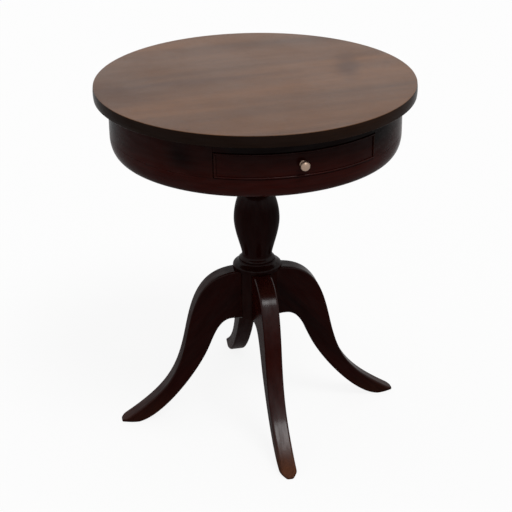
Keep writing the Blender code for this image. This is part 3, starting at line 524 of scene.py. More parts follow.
# Spider plate: a cross of black iron plate let against the underside of the hub and the legs.
# Slotted iron screws go up through its arms into the legs, and a larger one into the column's tenon.
PLATE_FOOT = 178.2 * MM
PLATE_TOP = 180.7 * MM
PLATE_ARM = 45.3 * MM
PLATE_HALF = 9 * MM
PLATE_ROOT = 13 * MM
PLATE_EDGE = 0.5 * MM
PLATE_SCREW_RADIUS = 37.8 * MM
ARM_POINTS = 15
CORNER_SHARE = 0.45  # the most of a profile's side that one rounded corner takes
CORNER_ANGLE = math.radians(24)  # a profile's smaller bends stay as they are
CORNER_STEPS = 4
SCREW_STEPS = 28
HEAD_POINTS = 8
HEAD_ARRIS = 0.2 * MM
SLOT_HALF = 0.11  # of the head's radius
SUNK_SLOT = 0.45  # of the head's height
ROUND_SLOT = 0.4
THREAD_ROOT = 0.72  # of the shank's radius
THREAD_PITCH = 0.9
THREAD_FALL = 0.45  # of the pitch
PLAIN_SHANK = 0.3  # of the screw's length
TOOL_MARKS = (2600, 2600, 180)
TARNISH_START = 0.62
TARNISH_FULL = 0.78
TARNISH_DULL = 0.18
METAL_STRENGTH = 0.35
Screw = namedtuple("Screw", "head head_height shank length sunk")  # head and shank are radii


def turned(name, profile, steps, ring=False):
    """A lathe shape from (radius, height) points down its outer side; a ring's are a closed loop."""
    shape = bmesh.new()
    rings = []
    for radius, height in profile:
        count = steps if radius > 0 else 1
        turns = [math.tau * i / steps for i in range(count)]
        rings.append([shape.verts.new((radius * math.cos(a), radius * math.sin(a), height)) for a in turns])
    if ring:
        rings.append(rings[0])
    skin(shape, rings)
    return place_mesh(name, shape)


def eased(points, reach, closed=False):
    """Round a profile's corners with small arcs that start at most this far from each."""
    made_points = []
    total = len(points)
    for i, point in enumerate(points):
        if not closed and i in (0, total - 1):
            made_points.append(point)
            continue
        here = Vector(point)
        before = Vector(points[i - 1]) - here
        after = Vector(points[(i + 1) % total]) - here
        if before.angle(-after) < CORNER_ANGLE:
            made_points.append(point)
            continue
        start = here + before.normalized() * min(reach, before.length * CORNER_SHARE)
        end = here + after.normalized() * min(reach, after.length * CORNER_SHARE)
        for k in range(CORNER_STEPS + 1):
            t = k / CORNER_STEPS
            made_points.append(tuple(start * (1 - t) ** 2 + here * 2 * t * (1 - t) + end * t * t))
    return made_points


def slotted_screw(name, head, head_height, shank, length, sunk):
    """A wood screw, head up at height 0, with a slot across a sunk or a round head."""
    if sunk:
        rim = [(0, 0), (head - HEAD_ARRIS, 0), (head, -HEAD_ARRIS), (shank, -head_height)]
    else:
        rim = [(0, head_height), *arc((0, 0), (head, head_height), 90, 0, HEAD_POINTS)[1:], (shank, 0)]
    root = shank * THREAD_ROOT
    pitch = shank * THREAD_PITCH
    point_top = -length + 2 * shank
    threads = []
    depth = rim[-1][1] - length * PLAIN_SHANK
    while depth > point_top:
        threads += [(shank, depth), (root, depth - pitch * THREAD_FALL)]
        depth -= pitch
    item = turned(name, [*rim, *threads, (root, point_top), (0, -length)], SCREW_STEPS)
    slot_foot = -head_height * SUNK_SLOT if sunk else head_height * ROUND_SLOT
    reach = head * 2
    half = head * SLOT_HALF
    outline = [(-reach, -half), (reach, -half), (reach, half), (-reach, half)]
    return smooth(shaped(item, prism("screw_slot", outline, slot_foot, head_height + CUT_MARGIN)), 30)


def metal_finish(name, colour, tarnish, gloss, dull, scale, share, depth):
    """A worked metal with patches of tarnish or rust, uneven gloss and fine tool marks."""
    material = bpy.data.materials.new(name)
    material.use_nodes = True
    tree = material.node_tree
    shader = tree.nodes["Principled BSDF"]
    shader.inputs["Metallic"].default_value = 1.0
    where = own_place(tree)
    spots = drawn_noise(tree, where, (scale, scale, scale), 6.0)
    patches = ranged(tree, spots, TARNISH_START - share, TARNISH_FULL - share)
    edges = node(tree, "ShaderNodeGroup", {"Place": where}, node_tree=RUBBED)
    kept = calc(tree, "MULTIPLY", patches, calc(tree, "SUBTRACT", 1.0, edges.outputs["Mask"]))
    polish = node(tree, "ShaderNodeGroup", {"Place": where, "Gloss": gloss, "Dull": dull}, node_tree=POLISH)
    marks = drawn_noise(tree, where, TOOL_MARKS, 2.0)
    height = calc(tree, "ADD", marks, patches)
    bump = node(tree, "ShaderNodeBump", {"Height": height, "Strength": METAL_STRENGTH, "Distance": depth})
    roughness = calc(tree, "ADD", polish.outputs["Roughness"], calc(tree, "MULTIPLY", kept, TARNISH_DULL))
    tree.links.new(blended(tree, kept, (*colour, 1), (*tarnish, 1)), shader.inputs["Base Color"])
    tree.links.new(roughness, shader.inputs["Roughness"])
    tree.links.new(bump.outputs[0], shader.inputs["Normal"])
    return material


black_iron = metal_finish(
    "black_iron", colour=(0.07, 0.066, 0.062), tarnish=(0.06, 0.026, 0.014), gloss=0.42, dull=0.6,
    scale=110, share=0.08, depth=0.12 * MM,
)
arm_end = arc((PLATE_ARM - PLATE_HALF, 0), (PLATE_HALF, PLATE_HALF), -90, 90, ARM_POINTS)
plate = prism("iron_cross", around([*arm_end, (PLATE_ROOT, PLATE_ROOT)]), PLATE_FOOT, PLATE_TOP)
ease_edges(plate, PLATE_EDGE)
plate.data.materials.append(black_iron)


def countersunk(board, x, y, screw):
    """A hole in the underside of a board for a sunk screw, open through the board."""
    head = screw.head + GAP
    shank = screw.shank + GAP
    low = min(v.co.z for v in board.data.vertices)
    high = max(v.co.z for v in board.data.vertices)
    profile = [
        (0, high + CUT_MARGIN),
        (shank, high + CUT_MARGIN),
        (shank, low + screw.head_height),
        (head, low),
        (head, low - CUT_MARGIN),
        (0, low - CUT_MARGIN),
    ]
    tool = turned("screw_hole", profile, SCREW_STEPS)
    tool.location = (x, y, 0)
    shaped(board, tool)


def drive(name, kind, place, aim, material, body, node_name):
    """A slotted screw at a place, driven up, down or forward, in place of its CAD solid."""
    item = slotted_screw(name, *kind)
    item.data.materials.append(material)
    item.location = place
    slot_turn = sum(ord(letter) for letter in name) if aim in (0, math.pi) else 0
    item.rotation_euler = (aim, 0, slot_turn)
    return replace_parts(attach(item, body), node_name)


PLATE_SCREW = Screw(3.8 * MM, 1.8 * MM, 2.0 * MM, 17.8 * MM, True)
CENTRE_SCREW = Screw(5.2 * MM, 2.2 * MM, 3.0 * MM, 46.1 * MM, True)
for leg_name, leg_turn in LEG_TURNS.items():
    countersunk(plate, *ahead((0, 0), leg_turn, PLATE_SCREW_RADIUS), PLATE_SCREW)
    screw_place = (*ahead((0, 0), BASE_TURN + leg_turn, PLATE_SCREW_RADIUS), PLATE_FOOT)
    drive(f"iron_screw_{leg_name}", PLATE_SCREW, screw_place, math.pi, black_iron, "base",
          f"plate_screw_{leg_name}")
countersunk(plate, 0, 0, CENTRE_SCREW)
plate.rotation_euler.z = BASE_TURN
smooth(plate)
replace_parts(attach(plate, "base"), "spider_plate")
drive("iron_screw_centre", CENTRE_SCREW, (0, 0, PLATE_FOOT), math.pi, black_iron, "base",
      "centre_screw")

# Collar and column: turned on a lathe from one dark mahogany billet, the collar as a loose ring.
# The column's tenon goes down through collar and hub, and its pivot goes up into the drum.
LATHE_STEPS = 96
COLLAR_FOOT = 268.3 * MM
COLLAR_TOP = 283.3 * MM
COLLAR_RADIUS = 40.5 * MM
COLLAR_TOP_RADIUS = 30.5 * MM
COLLAR_RIM = 4 * MM
SHOULDER = 283.6 * MM
SHOULDER_RADIUS = 29.5 * MM
SHOULDER_HANDLE = 3.6 * MM
NECK = 292.6 * MM
NECK_RADIUS = 25 * MM
NECK_HANDLES = (9.5 * MM, 4.5 * MM)
BELLY = 355.6 * MM
VASE_RADIUS = 37.8 * MM
BELLY_HANDLES = (21.6 * MM, 22.7 * MM)
THROAT = 409.6 * MM
THROAT_RADIUS = 20 * MM
THROAT_HANDLE = (10.2 * MM, 5.4 * MM)
RING_RADIUS = 3 * MM
RING_PROUD = 4.2 * MM
FLARE_FOOT = 415.6 * MM
FLARE_RADIUS = 34 * MM
FLARE_HANDLE = 20 * MM
CAP_FOOT = 475.7 * MM
CAP_TOP = 485.7 * MM
CAP_RADIUS = 42 * MM
CAP_EDGE = 2 * MM
PIVOT_RADIUS = 14 * MM
PIVOT_TOP = 511 * MM
TURNED_EDGE = 0.7 * MM
COVE_POINTS = 18
FLARE_POINTS = 20
RING_POINTS = 13
RING_SWEEP = 75
VASE_POINTS = 24
NECK_POINTS = 10

rim_top = COLLAR_FOOT + COLLAR_RIM
hollow = (COLLAR_TOP + rim_top) / 2
collar_profile = [
    (TENON_RADIUS + GAP, COLLAR_TOP),
    (COLLAR_TOP_RADIUS, COLLAR_TOP),
    *curve((COLLAR_TOP_RADIUS, COLLAR_TOP), (COLLAR_TOP_RADIUS, hollow), (COLLAR_RADIUS, hollow),
           (COLLAR_RADIUS, rim_top), COVE_POINTS),
    (COLLAR_RADIUS, COLLAR_FOOT),
    (TENON_RADIUS + GAP, COLLAR_FOOT),
]
column_profile = [
    (0, PIVOT_TOP),
    (PIVOT_RADIUS, PIVOT_TOP),
    (PIVOT_RADIUS, CAP_TOP),
    (CAP_RADIUS - CAP_EDGE, CAP_TOP),
    (CAP_RADIUS, CAP_TOP - CAP_EDGE),
    (CAP_RADIUS, CAP_FOOT + CAP_EDGE),
    (FLARE_RADIUS, CAP_FOOT),
    *curve((FLARE_RADIUS, CAP_FOOT), (THROAT_RADIUS, CAP_FOOT - FLARE_HANDLE),
           (THROAT_RADIUS, FLARE_FOOT + FLARE_HANDLE), (THROAT_RADIUS, FLARE_FOOT), FLARE_POINTS),
    *arc((THROAT_RADIUS, THROAT + RING_RADIUS), (RING_PROUD, RING_RADIUS), RING_SWEEP, -RING_SWEEP,
         RING_POINTS),
    (THROAT_RADIUS, THROAT),
    *curve((THROAT_RADIUS, THROAT), (THROAT_RADIUS + THROAT_HANDLE[0], THROAT - THROAT_HANDLE[1]),
           (VASE_RADIUS, BELLY + BELLY_HANDLES[0]), (VASE_RADIUS, BELLY), VASE_POINTS),
    *curve((VASE_RADIUS, BELLY), (VASE_RADIUS, BELLY - BELLY_HANDLES[1]),
           (NECK_RADIUS, NECK + NECK_HANDLES[0]), (NECK_RADIUS, NECK), VASE_POINTS),
    *curve((NECK_RADIUS, NECK), (NECK_RADIUS, NECK - NECK_HANDLES[1]),
           (SHOULDER_RADIUS, SHOULDER + SHOULDER_HANDLE), (SHOULDER_RADIUS, SHOULDER), NECK_POINTS),
    (TENON_RADIUS, SHOULDER),
    (TENON_RADIUS, TENON_FOOT),
    (0, TENON_FOOT),
]
turned_mahogany = wood_finish(
    "turned_mahogany", upright, light=(0.021, 0.0034, 0.0023), dark=(0.0045, 0.0012, 0.001),
    gloss=0.16, dull=0.3, rubbed=(0.036, 0.01, 0.0065), fixed=DARK_POLISH,
)
for turned_name, cad_node, profile, ring, slot_name in (
    ("turned_collar", "collar", collar_profile, True, "dark_mahogany"),
    ("vase_column", "column", column_profile, False, "mahogany"),
):
    item = turned(turned_name, eased(profile, TURNED_EDGE, closed=ring), LATHE_STEPS, ring)
    item.data.materials.append(turned_mahogany)
    item.rotation_euler.z = BASE_TURN
    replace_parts(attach(smooth(item), "base"), cad_node)

# Pivot washer and screw: a steel washer on the end of the column's pivot, inside the drum.
# The screw holds it down, so that the drum can turn but doesn't lift off.
WASHER_FOOT = 511.3 * MM
WASHER_TOP = 513.3 * MM
WASHER_RADIUS = 21 * MM
WASHER_BORE = 2.9 * MM
WASHER_EDGE = 0.4 * MM
WASHER_STEPS = 64
PIVOT_SCREW = Screw(6.0 * MM, 2.4 * MM, 2.6 * MM, 35.6 * MM, False)

steel = metal_finish(
    "steel", colour=(0.5, 0.49, 0.47), tarnish=(0.2, 0.15, 0.11), gloss=0.28, dull=0.46,
    scale=90, share=0.05, depth=0.06 * MM,
)
washer_profile = [
    (WASHER_BORE, WASHER_TOP),
    (WASHER_RADIUS, WASHER_TOP),
    (WASHER_RADIUS, WASHER_FOOT),
    (WASHER_BORE, WASHER_FOOT),
]
washer_rim = eased(washer_profile, WASHER_EDGE, closed=True)
washer = smooth(turned("steel_washer", washer_rim, WASHER_STEPS, ring=True))
washer.data.materials.append(steel)
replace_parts(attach(washer, "base"), "pivot_washer")
drive("steel_pivot_screw", PIVOT_SCREW, (0, 0, WASHER_TOP + GAP), 0.0, steel, "base",
      "pivot_screw")

# Base ring: a ring of brick-built mahogany under the drum, with its outer face rounded under.
# The floor lies on its inner ledge, the drawer runs above its front, and it is veneered and polished.
DRUM_STEPS = 192
DRUM_RADIUS = 232.5 * MM
DRUM_BORE = 217.5 * MM
RING_BORE = 202.5 * MM
DRUM_FOOT = 486 * MM
RING_TOP = 516.7 * MM
RING_FACE = 4.7 * MM
RING_ROUND = 12 * MM
RING_LEDGE = 510.4 * MM
ROUND_POINTS = 20
BENT_EDGE = 0.3 * MM
# Painted shade below the top: where it starts and where it is full, how ragged its edge is, and its
# near-black colour
OVERHANG_SHADE_FOOT = 512 * MM
OVERHANG_SHADE_FULL = 546 * MM
OVERHANG_SHADE_STEP = 9 * MM
OVERHANG_SHADE_COLOUR = (0.0018, 0.0008, 0.0006, 1)


def round_drum(tree):
    """Places on the drum: X round it, Y up it, Z out from its axis. The veneer's joint is at the back."""
    own = node(tree, "ShaderNodeTexCoord").outputs["Object"]
    parts = node(tree, "ShaderNodeSeparateXYZ", {0: own}).outputs
    turn = calc(tree, "ARCTAN2", parts["X"], calc(tree, "MULTIPLY", parts["Y"], -1.0))
    level = node(tree, "ShaderNodeVectorMath", {0: own, 1: (1, 1, 0)}, operation="MULTIPLY").outputs[0]
    out = node(tree, "ShaderNodeVectorMath", {0: level}, operation="LENGTH").outputs["Value"]
    feeds = {0: calc(tree, "MULTIPLY", turn, DRUM_RADIUS), 1: parts["Z"], 2: out}
    return node(tree, "ShaderNodeCombineXYZ", feeds).outputs[0]


# Painted shade under the overhang: the wood's colour darkens towards the top, in ragged patches, standing in
# for the shade that the top casts
OVERHANG_SHADE, given, made = effect(
    "painted_shade_under_overhang",
    [("Place", VECTOR, (0, 0, 0)), ("Colour", COLOUR, (0.03, 0.004, 0.003, 1)), ("Amount", NUMBER, 1.0)],
    [("Colour", COLOUR)],
)
up_drum = node(OVERHANG_SHADE, "ShaderNodeSeparateXYZ", {0: given["Place"]}).outputs["Y"]
edge_noise = drawn_noise(OVERHANG_SHADE, given["Place"], (9, 30, 30), 3.0)
uneven = ranged(OVERHANG_SHADE, edge_noise, 0.3, 0.7, -OVERHANG_SHADE_STEP, OVERHANG_SHADE_STEP)
nearing_top = ranged(OVERHANG_SHADE, calc(OVERHANG_SHADE, "ADD", up_drum, uneven), OVERHANG_SHADE_FOOT, OVERHANG_SHADE_FULL)
patches = ranged(OVERHANG_SHADE, drawn_noise(OVERHANG_SHADE, given["Place"], (7, 3, 3), 2.0), 0.42, 0.56, 0.3, 1.0)
shade_share = calc(OVERHANG_SHADE, "MULTIPLY", calc(OVERHANG_SHADE, "MULTIPLY", nearing_top, patches), given["Amount"])
OVERHANG_SHADE.links.new(blended(OVERHANG_SHADE, shade_share, given["Colour"], OVERHANG_SHADE_COLOUR), made["Colour"])

VENEER_POLISH = {**DARK_POLISH, "IOR": 1.04}
VENEER_WAX = (0.08, 0.3)


def drum_finish(name, light, dark, dull, shade_amount):
    """Dark polished mahogany veneer round the drum, its colour darkened below the top as painted shade."""
    material = wood_finish(
        name, round_drum, light, dark, gloss=0.16, dull=dull, rubbed=(0.042, 0.012, 0.0075),
        fixed=VENEER_POLISH, wax=VENEER_WAX,
    )
    tree = material.node_tree
    colour = tree.nodes["Principled BSDF"].inputs["Base Color"]
    feeds = {"Place": round_drum(tree), "Colour": colour.links[0].from_socket, "Amount": shade_amount}
    overhang_shade = node(tree, "ShaderNodeGroup", feeds, node_tree=OVERHANG_SHADE)
    tree.links.new(overhang_shade.outputs["Colour"], colour)
    return material


frieze_mahogany = drum_finish(
    "frieze_mahogany", light=(0.052, 0.0058, 0.0034), dark=(0.0056, 0.0013, 0.001), dull=0.3, shade_amount=0.9
)
shoulder_height = RING_TOP - RING_FACE
ring_profile = [
    (DRUM_BORE, RING_TOP),
    (DRUM_RADIUS, RING_TOP),
    *arc((DRUM_RADIUS - RING_ROUND, shoulder_height), (RING_ROUND, shoulder_height - DRUM_FOOT), 0, -90,
         ROUND_POINTS),
    (RING_BORE, DRUM_FOOT),
    (RING_BORE, RING_LEDGE),
    (DRUM_BORE, RING_LEDGE),
]
ring_outline = eased(ring_profile, BENT_EDGE, closed=True)
base_ring = turned("rounded_base_ring", ring_outline, DRUM_STEPS, ring=True)
base_ring.data.materials.append(frieze_mahogany)
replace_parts(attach(smooth(base_ring), "drum"), "base_ring")

# Floor, bearer, guides, battens and stops: planed softwood boards inside the drum, left unpolished.
# The bearer carries the drum on the pivot; steel screws hold bearer to guides and battens to the top.
BOARD_EDGE = 0.5 * MM
BOARD_EDGE_ANGLE = math.radians(50)
BOARD_FLAT_ANGLE = math.radians(1)
BOARD_WELD = 0.01 * MM
BATTEN_SCREW = Screw(4.0 * MM, 2.0 * MM, 2.0 * MM, 32.5 * MM, True)
BEARER_SCREW = Screw(4.0 * MM, 2.0 * MM, 2.0 * MM, 40.0 * MM, True)
BARE = {"IOR": 1.45, "Specular IOR Level": 0.35}


def along_board(tree):
    """Places on a board with X along its long side, which lies along Y."""
    parts = node(tree, "ShaderNodeSeparateXYZ", {0: own_place(tree)}).outputs
    return node(tree, "ShaderNodeCombineXYZ", {0: parts["Y"], 1: parts["X"], 2: parts["Z"]}).outputs[0]


def planed(name, material):
    """Keep a CAD board as it is, with its edges taken off a little and its finish."""
    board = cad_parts[name]
    weld = board.modifiers.new("weld", "WELD")
    weld.merge_threshold = BOARD_WELD
    flat = board.modifiers.new("flat", "DECIMATE")
    flat.decimate_type = "DISSOLVE"
    flat.angle_limit = BOARD_FLAT_ANGLE
    edge = board.modifiers.new("edge", "BEVEL")
    edge.width = BOARD_EDGE
    edge.segments = EASED_SEGMENTS
    edge.limit_method = "ANGLE"
    edge.angle_limit = BOARD_EDGE_ANGLE
    board.modifiers.new("faces", "WEIGHTED_NORMAL")
    board.data.materials.clear()
    board.data.materials.append(material)


cross_wood = wood_finish(
    "softwood_crossways", own_place, light=(0.34, 0.2, 0.1), dark=(0.22, 0.12, 0.055),
    gloss=0.55, dull=0.75, rubbed=(0.42, 0.27, 0.15), fixed=BARE, pores=0.35,
)
strip_wood = wood_finish(
    "softwood_strips", along_board, light=(0.36, 0.215, 0.11), dark=(0.25, 0.14, 0.065),
    gloss=0.55, dull=0.75, rubbed=(0.44, 0.29, 0.16), fixed=BARE, pores=0.35,
)
for board_name in ("drum_floor", "bearer"):
    planed(board_name, cross_wood)
for side_name in ("left", "right"):
    for strip_name in ("guide", "batten", "drawer_stop"):
        planed(f"{strip_name}_{side_name}", strip_wood)
    for end_name in ("front", "rear"):
        for kind_name, kind in (("batten_screw", BATTEN_SCREW), ("bearer_screw", BEARER_SCREW)):
            cad_node = f"{kind_name}_{side_name}_{end_name}"
            low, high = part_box(cad_node)
            screw_place = ((low.x + high.x) / 2, (low.y + high.y) / 2, low.z)
            drive(f"steel_{cad_node}", kind, screw_place, math.pi, steel, "drum", cad_node)

# Frieze wall and drawer rail: bent mahogany round the drum, open at the front for the drawer.
# The wall stands on the base ring, and the rail closes the opening above the drawer front.
WALL_FOOT = 517 * MM
DRUM_TOP = 574.2 * MM
OPENING_TOP = 557.7 * MM
OPENING_HALF = 126 * MM
WALL_STEPS = 168
FRONT_STEPS = 72


def bent(name, section, half, steps, rest=False):
    """Sweep (radius, height) points round the drum's front, or round the rest, between upright ends."""
    shape = bmesh.new()
    rings = []
    for i in range(steps + 1):
        ring = []
        for radius, height in section:
            reach = math.asin(half / radius)
            turn = reach + (math.tau - 2 * reach) * i / steps if rest else reach * (2 * i / steps - 1)
            ring.append(shape.verts.new((radius * math.sin(turn), -radius * math.cos(turn), height)))
        rings.append(ring)
    skin(shape, rings)
    shape.faces.new(rings[0])
    shape.faces.new(rings[-1])
    return place_mesh(name, shape)


def board_section(inner, outer, low, high):
    """The four corners of a bent board's section."""
    return [(inner, high), (outer, high), (outer, low), (inner, low)]


wall_section = board_section(DRUM_BORE, DRUM_RADIUS, WALL_FOOT, DRUM_TOP)
rail_section = board_section(DRUM_BORE, DRUM_RADIUS, OPENING_TOP, DRUM_TOP)
for item, cad_node in (
    (bent("bent_frieze", wall_section, OPENING_HALF, WALL_STEPS, rest=True), "frieze_wall"),
    (bent("bent_drawer_rail", rail_section, OPENING_HALF - GAP, FRONT_STEPS), "drawer_rail"),
):
    ease_edges(item, BENT_EDGE)
    item.data.materials.append(frieze_mahogany)
    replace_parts(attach(smooth(item), "drum"), cad_node)

# Top: a round mahogany board with a slightly rounded edge, screwed down from inside the drum.
# Sun has faded its face to a greyer brown, hazy in its polish, while its edge is still a dark brown.
TOP_RADIUS = 255 * MM
TOP_FOOT = 574.5 * MM
TOP_FACE = 593 * MM
TOP_ARRIS = 1.2 * MM
TOP_BULGE = 0.6 * MM
TOP_UNDERCUT = 0.6 * MM
FACE_RINGS = (60 * MM, 130 * MM, 200 * MM, 240 * MM)
TOP_RIM = TOP_RADIUS - TOP_BULGE
ARRIS_POINTS = 6
BULGE_POINTS = 11

half_edge = (TOP_FACE - TOP_FOOT - TOP_ARRIS - TOP_UNDERCUT) / 2
bulge_radius = (half_edge ** 2 + TOP_BULGE ** 2) / (2 * TOP_BULGE)
bulge_spread = math.degrees(math.asin(half_edge / bulge_radius))
bulge_middle = (TOP_RADIUS - bulge_radius, TOP_FOOT + TOP_UNDERCUT + half_edge)
top_profile = [
    (0, TOP_FACE),
    *[(radius, TOP_FACE) for radius in FACE_RINGS],
    *arc((TOP_RIM - TOP_ARRIS, TOP_FACE - TOP_ARRIS), (TOP_ARRIS, TOP_ARRIS), 90, 0, ARRIS_POINTS),
    *arc(bulge_middle, (bulge_radius, bulge_radius), bulge_spread, -bulge_spread, BULGE_POINTS)[1:],
    (TOP_RIM - TOP_UNDERCUT, TOP_FOOT),
    *[(radius, TOP_FOOT) for radius in reversed(FACE_RINGS)],
    (0, TOP_FOOT),
]
faded_mahogany = wood_finish(
    "faded_mahogany", own_place, light=(0.184, 0.072, 0.022), dark=(0.076, 0.028, 0.008),
    gloss=0.3, dull=0.42, rubbed=(0.16, 0.075, 0.035), fixed={"IOR": 1.28},
)
edge_mahogany = wood_finish(
    "edge_mahogany", round_drum, light=(0.027, 0.0115, 0.0062), dark=(0.0062, 0.0028, 0.0018),
    gloss=0.2, dull=0.34, rubbed=(0.06, 0.027, 0.015), fixed=VENEER_POLISH, wax=VENEER_WAX,
)

# Marks on the face: a dark streak in the figure, a darker left end and a dark patch at the right.
# Each is a soft oval: its middle, its turn, its reach along and across, and how dark it is.
FACE_MARKS = (
    ((-95 * MM, 18 * MM, TOP_FACE), 0, (210 * MM, 24 * MM, 1), 0.55),
    ((-240 * MM, 0, TOP_FACE), 0, (120 * MM, 90 * MM, 1), 0.45),
    ((160 * MM, 10 * MM, TOP_FACE), math.radians(71), (80 * MM, 24 * MM, 1), 0.6),
)
MARK_COLOUR = (0.045, 0.012, 0.002, 1)
MARK_CORE = 0.3  # the inner share of an oval that is darkest
MARK_STEP = 0.2
tree = faded_mahogany.node_tree
face_shader = tree.nodes["Principled BSDF"]
face_colour = face_shader.inputs["Base Color"].links[0].from_socket
own = node(tree, "ShaderNodeTexCoord").outputs["Object"]
ragged = ranged(tree, drawn_noise(tree, own, (12, 60, 60), 3.0), 0.3, 0.7, -MARK_STEP, MARK_STEP)
for middle, turn, reach, strength in FACE_MARKS:
    feeds = {"Vector": own, "Location": middle, "Rotation": (0, 0, turn), "Scale": reach}
    spread = node(tree, "ShaderNodeMapping", feeds, vector_type="TEXTURE").outputs[0]
    away = node(tree, "ShaderNodeVectorMath", {0: spread}, operation="LENGTH").outputs["Value"]
    mark = ranged(tree, calc(tree, "ADD", away, ragged), MARK_CORE, 1.0, strength, 0.0)
    face_colour = blended(tree, mark, face_colour, MARK_COLOUR)
tree.links.new(face_colour, face_shader.inputs["Base Color"])

table_top = turned("round_top", top_profile, DRUM_STEPS)
table_top.data.materials.append(faded_mahogany)
table_top.data.materials.append(edge_mahogany)
for face in table_top.data.polygons:
    if face.center.z < TOP_FACE - TOP_ARRIS / 3:
        face.material_index = 1
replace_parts(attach(smooth(table_top), "drum"), "table_top")

# Drawer front: a bent mahogany board, veneered on its face and edged with a fine cock bead all round.
# Sockets in its ends take the tails of the drawer sides, and a groove in its back takes the bottom.
FRONT_BORE = 215.5 * MM
FRONT_HALF = 125 * MM
CORE_HALF = 121.7 * MM
SIDE_INNER = 112.7 * MM
FRONT_FOOT = 517.7 * MM
FRONT_TOP = 556.7 * MM
FRONT_EDGE = 0.4 * MM
COCK_BEAD = 3 * MM
COCK_BEAD_PROUD = 1.8 * MM
COCK_BEAD_DEPTH = 9 * MM
CORE_FOOT = FRONT_FOOT + COCK_BEAD + GAP
CORE_TOP = FRONT_TOP - COCK_BEAD - GAP
SIDE_TOP = 548 * MM
TAIL_COUNT = 2
TAIL_LENGTH = 12 * MM
TAIL_FLARE = 1.5 * MM
PIN_WIDTH = 3 * MM
GROOVE_DEPTH = 4 * MM
GROOVE_FOOT = 523.2 * MM
GROOVE_TOP = 527.8 * MM
BEAD_POINTS = 9

# The drawer front carries a weaker share of the painted shade below the top.
drawer_mahogany = drum_finish(
    "drawer_mahogany", light=(0.05, 0.0058, 0.0034), dark=(0.006, 0.0014, 0.0011), dull=0.28, shade_amount=0.55
)
front_section = board_section(FRONT_BORE, DRUM_RADIUS, CORE_FOOT, CORE_TOP)
drawer_front = ease_edges(bent("bent_drawer_front", front_section, CORE_HALF, FRONT_STEPS), FRONT_EDGE)
groove_reach = FRONT_BORE + GROOVE_DEPTH
groove_profile = [(0, GROOVE_TOP), (groove_reach, GROOVE_TOP), (groove_reach, GROOVE_FOOT), (0, GROOVE_FOOT)]
shaped(drawer_front, turned("front_groove", groove_profile, DRUM_STEPS))
tail_pitch = (SIDE_TOP - CORE_FOOT) / TAIL_COUNT
tail_root = -math.sqrt(FRONT_BORE ** 2 - CORE_HALF ** 2)
socket_end_half = (tail_pitch - PIN_WIDTH) / 2 + GAP
socket_root_half = socket_end_half - TAIL_FLARE
half_socket = [
    (tail_root + TAIL_LENGTH, socket_root_half),
    (tail_root, socket_root_half),
    (tail_root - TAIL_LENGTH - GAP, socket_end_half),
]
front_ends = ((-CORE_HALF - CUT_MARGIN, -SIDE_INNER + GAP), (SIDE_INNER - GAP, CORE_HALF + CUT_MARGIN))
for tail_place in range(TAIL_COUNT):
    middle = CORE_FOOT + (tail_place + 0.5) * tail_pitch
    upper_half = [(y, middle + z) for y, z in half_socket]
    lower_half = [(y, middle - z) for y, z in reversed(half_socket)]
    socket = upper_half + lower_half
    for left, right in front_ends:
        shaped(drawer_front, prism("tail_socket", socket, left, right, across=True))
drawer_front.data.materials.append(drawer_mahogany)
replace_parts(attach(smooth(drawer_front), "drawer"), "drawer_front")

bead_front = DRUM_RADIUS + COCK_BEAD_PROUD
bead_back = bead_front - COCK_BEAD_DEPTH
bead_half = COCK_BEAD / 2
for bead_name, bead_foot in (("bottom", FRONT_FOOT), ("top", FRONT_TOP - COCK_BEAD)):
    bead_middle = bead_foot + bead_half
    rounded = arc((bead_front - bead_half, bead_middle), (bead_half, bead_half), 90, -90, BEAD_POINTS)
    section = [(bead_back, bead_foot + COCK_BEAD), *rounded, (bead_back, bead_foot)]
    bead = bent(f"rounded_bead_{bead_name}", section, FRONT_HALF, FRONT_STEPS)
    bead.data.materials.append(drawer_mahogany)
    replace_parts(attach(smooth(bead), "drawer"), f"cock_bead_{bead_name}")
for bead_name, side in (("left", -1), ("right", 1)):
    bead_middle = FRONT_HALF - bead_half
    outline = []
    rounded = arc((bead_middle, bead_front - bead_half), (bead_half, bead_half), 180, 0, BEAD_POINTS)
    for x, radius in rounded:
        outline.append((side * x, -math.sqrt(radius ** 2 - x ** 2)))
    for x in (bead_middle + bead_half, bead_middle - bead_half):
        outline.append((side * x, -math.sqrt(bead_back ** 2 - x ** 2)))
    bead = prism(f"rounded_bead_{bead_name}", outline, CORE_FOOT, CORE_TOP)
    bead.data.materials.append(drawer_mahogany)
    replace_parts(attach(smooth(bead), "drawer"), f"cock_bead_{bead_name}")

# Drawer box: thin oak sides, back and bottom, planed and left bare.
# The sides are dovetailed to the front, and the bottom slides in grooves under the back.
oak_sides = wood_finish(
    "oak_sides", along_board, light=(0.33, 0.205, 0.105), dark=(0.24, 0.14, 0.07), gloss=0.5, dull=0.7,
    rubbed=(0.4, 0.26, 0.14), fixed=BARE, pores=0.5,
)
oak_across = wood_finish(
    "oak_across", own_place, light=(0.31, 0.19, 0.1), dark=(0.225, 0.13, 0.065), gloss=0.5, dull=0.7,
    rubbed=(0.38, 0.25, 0.135), fixed=BARE, pores=0.5,
)
for board_name in ("drawer_side_left", "drawer_side_right"):
    planed(board_name, oak_sides)
for board_name in ("drawer_back", "drawer_bottom"):
    planed(board_name, oak_across)

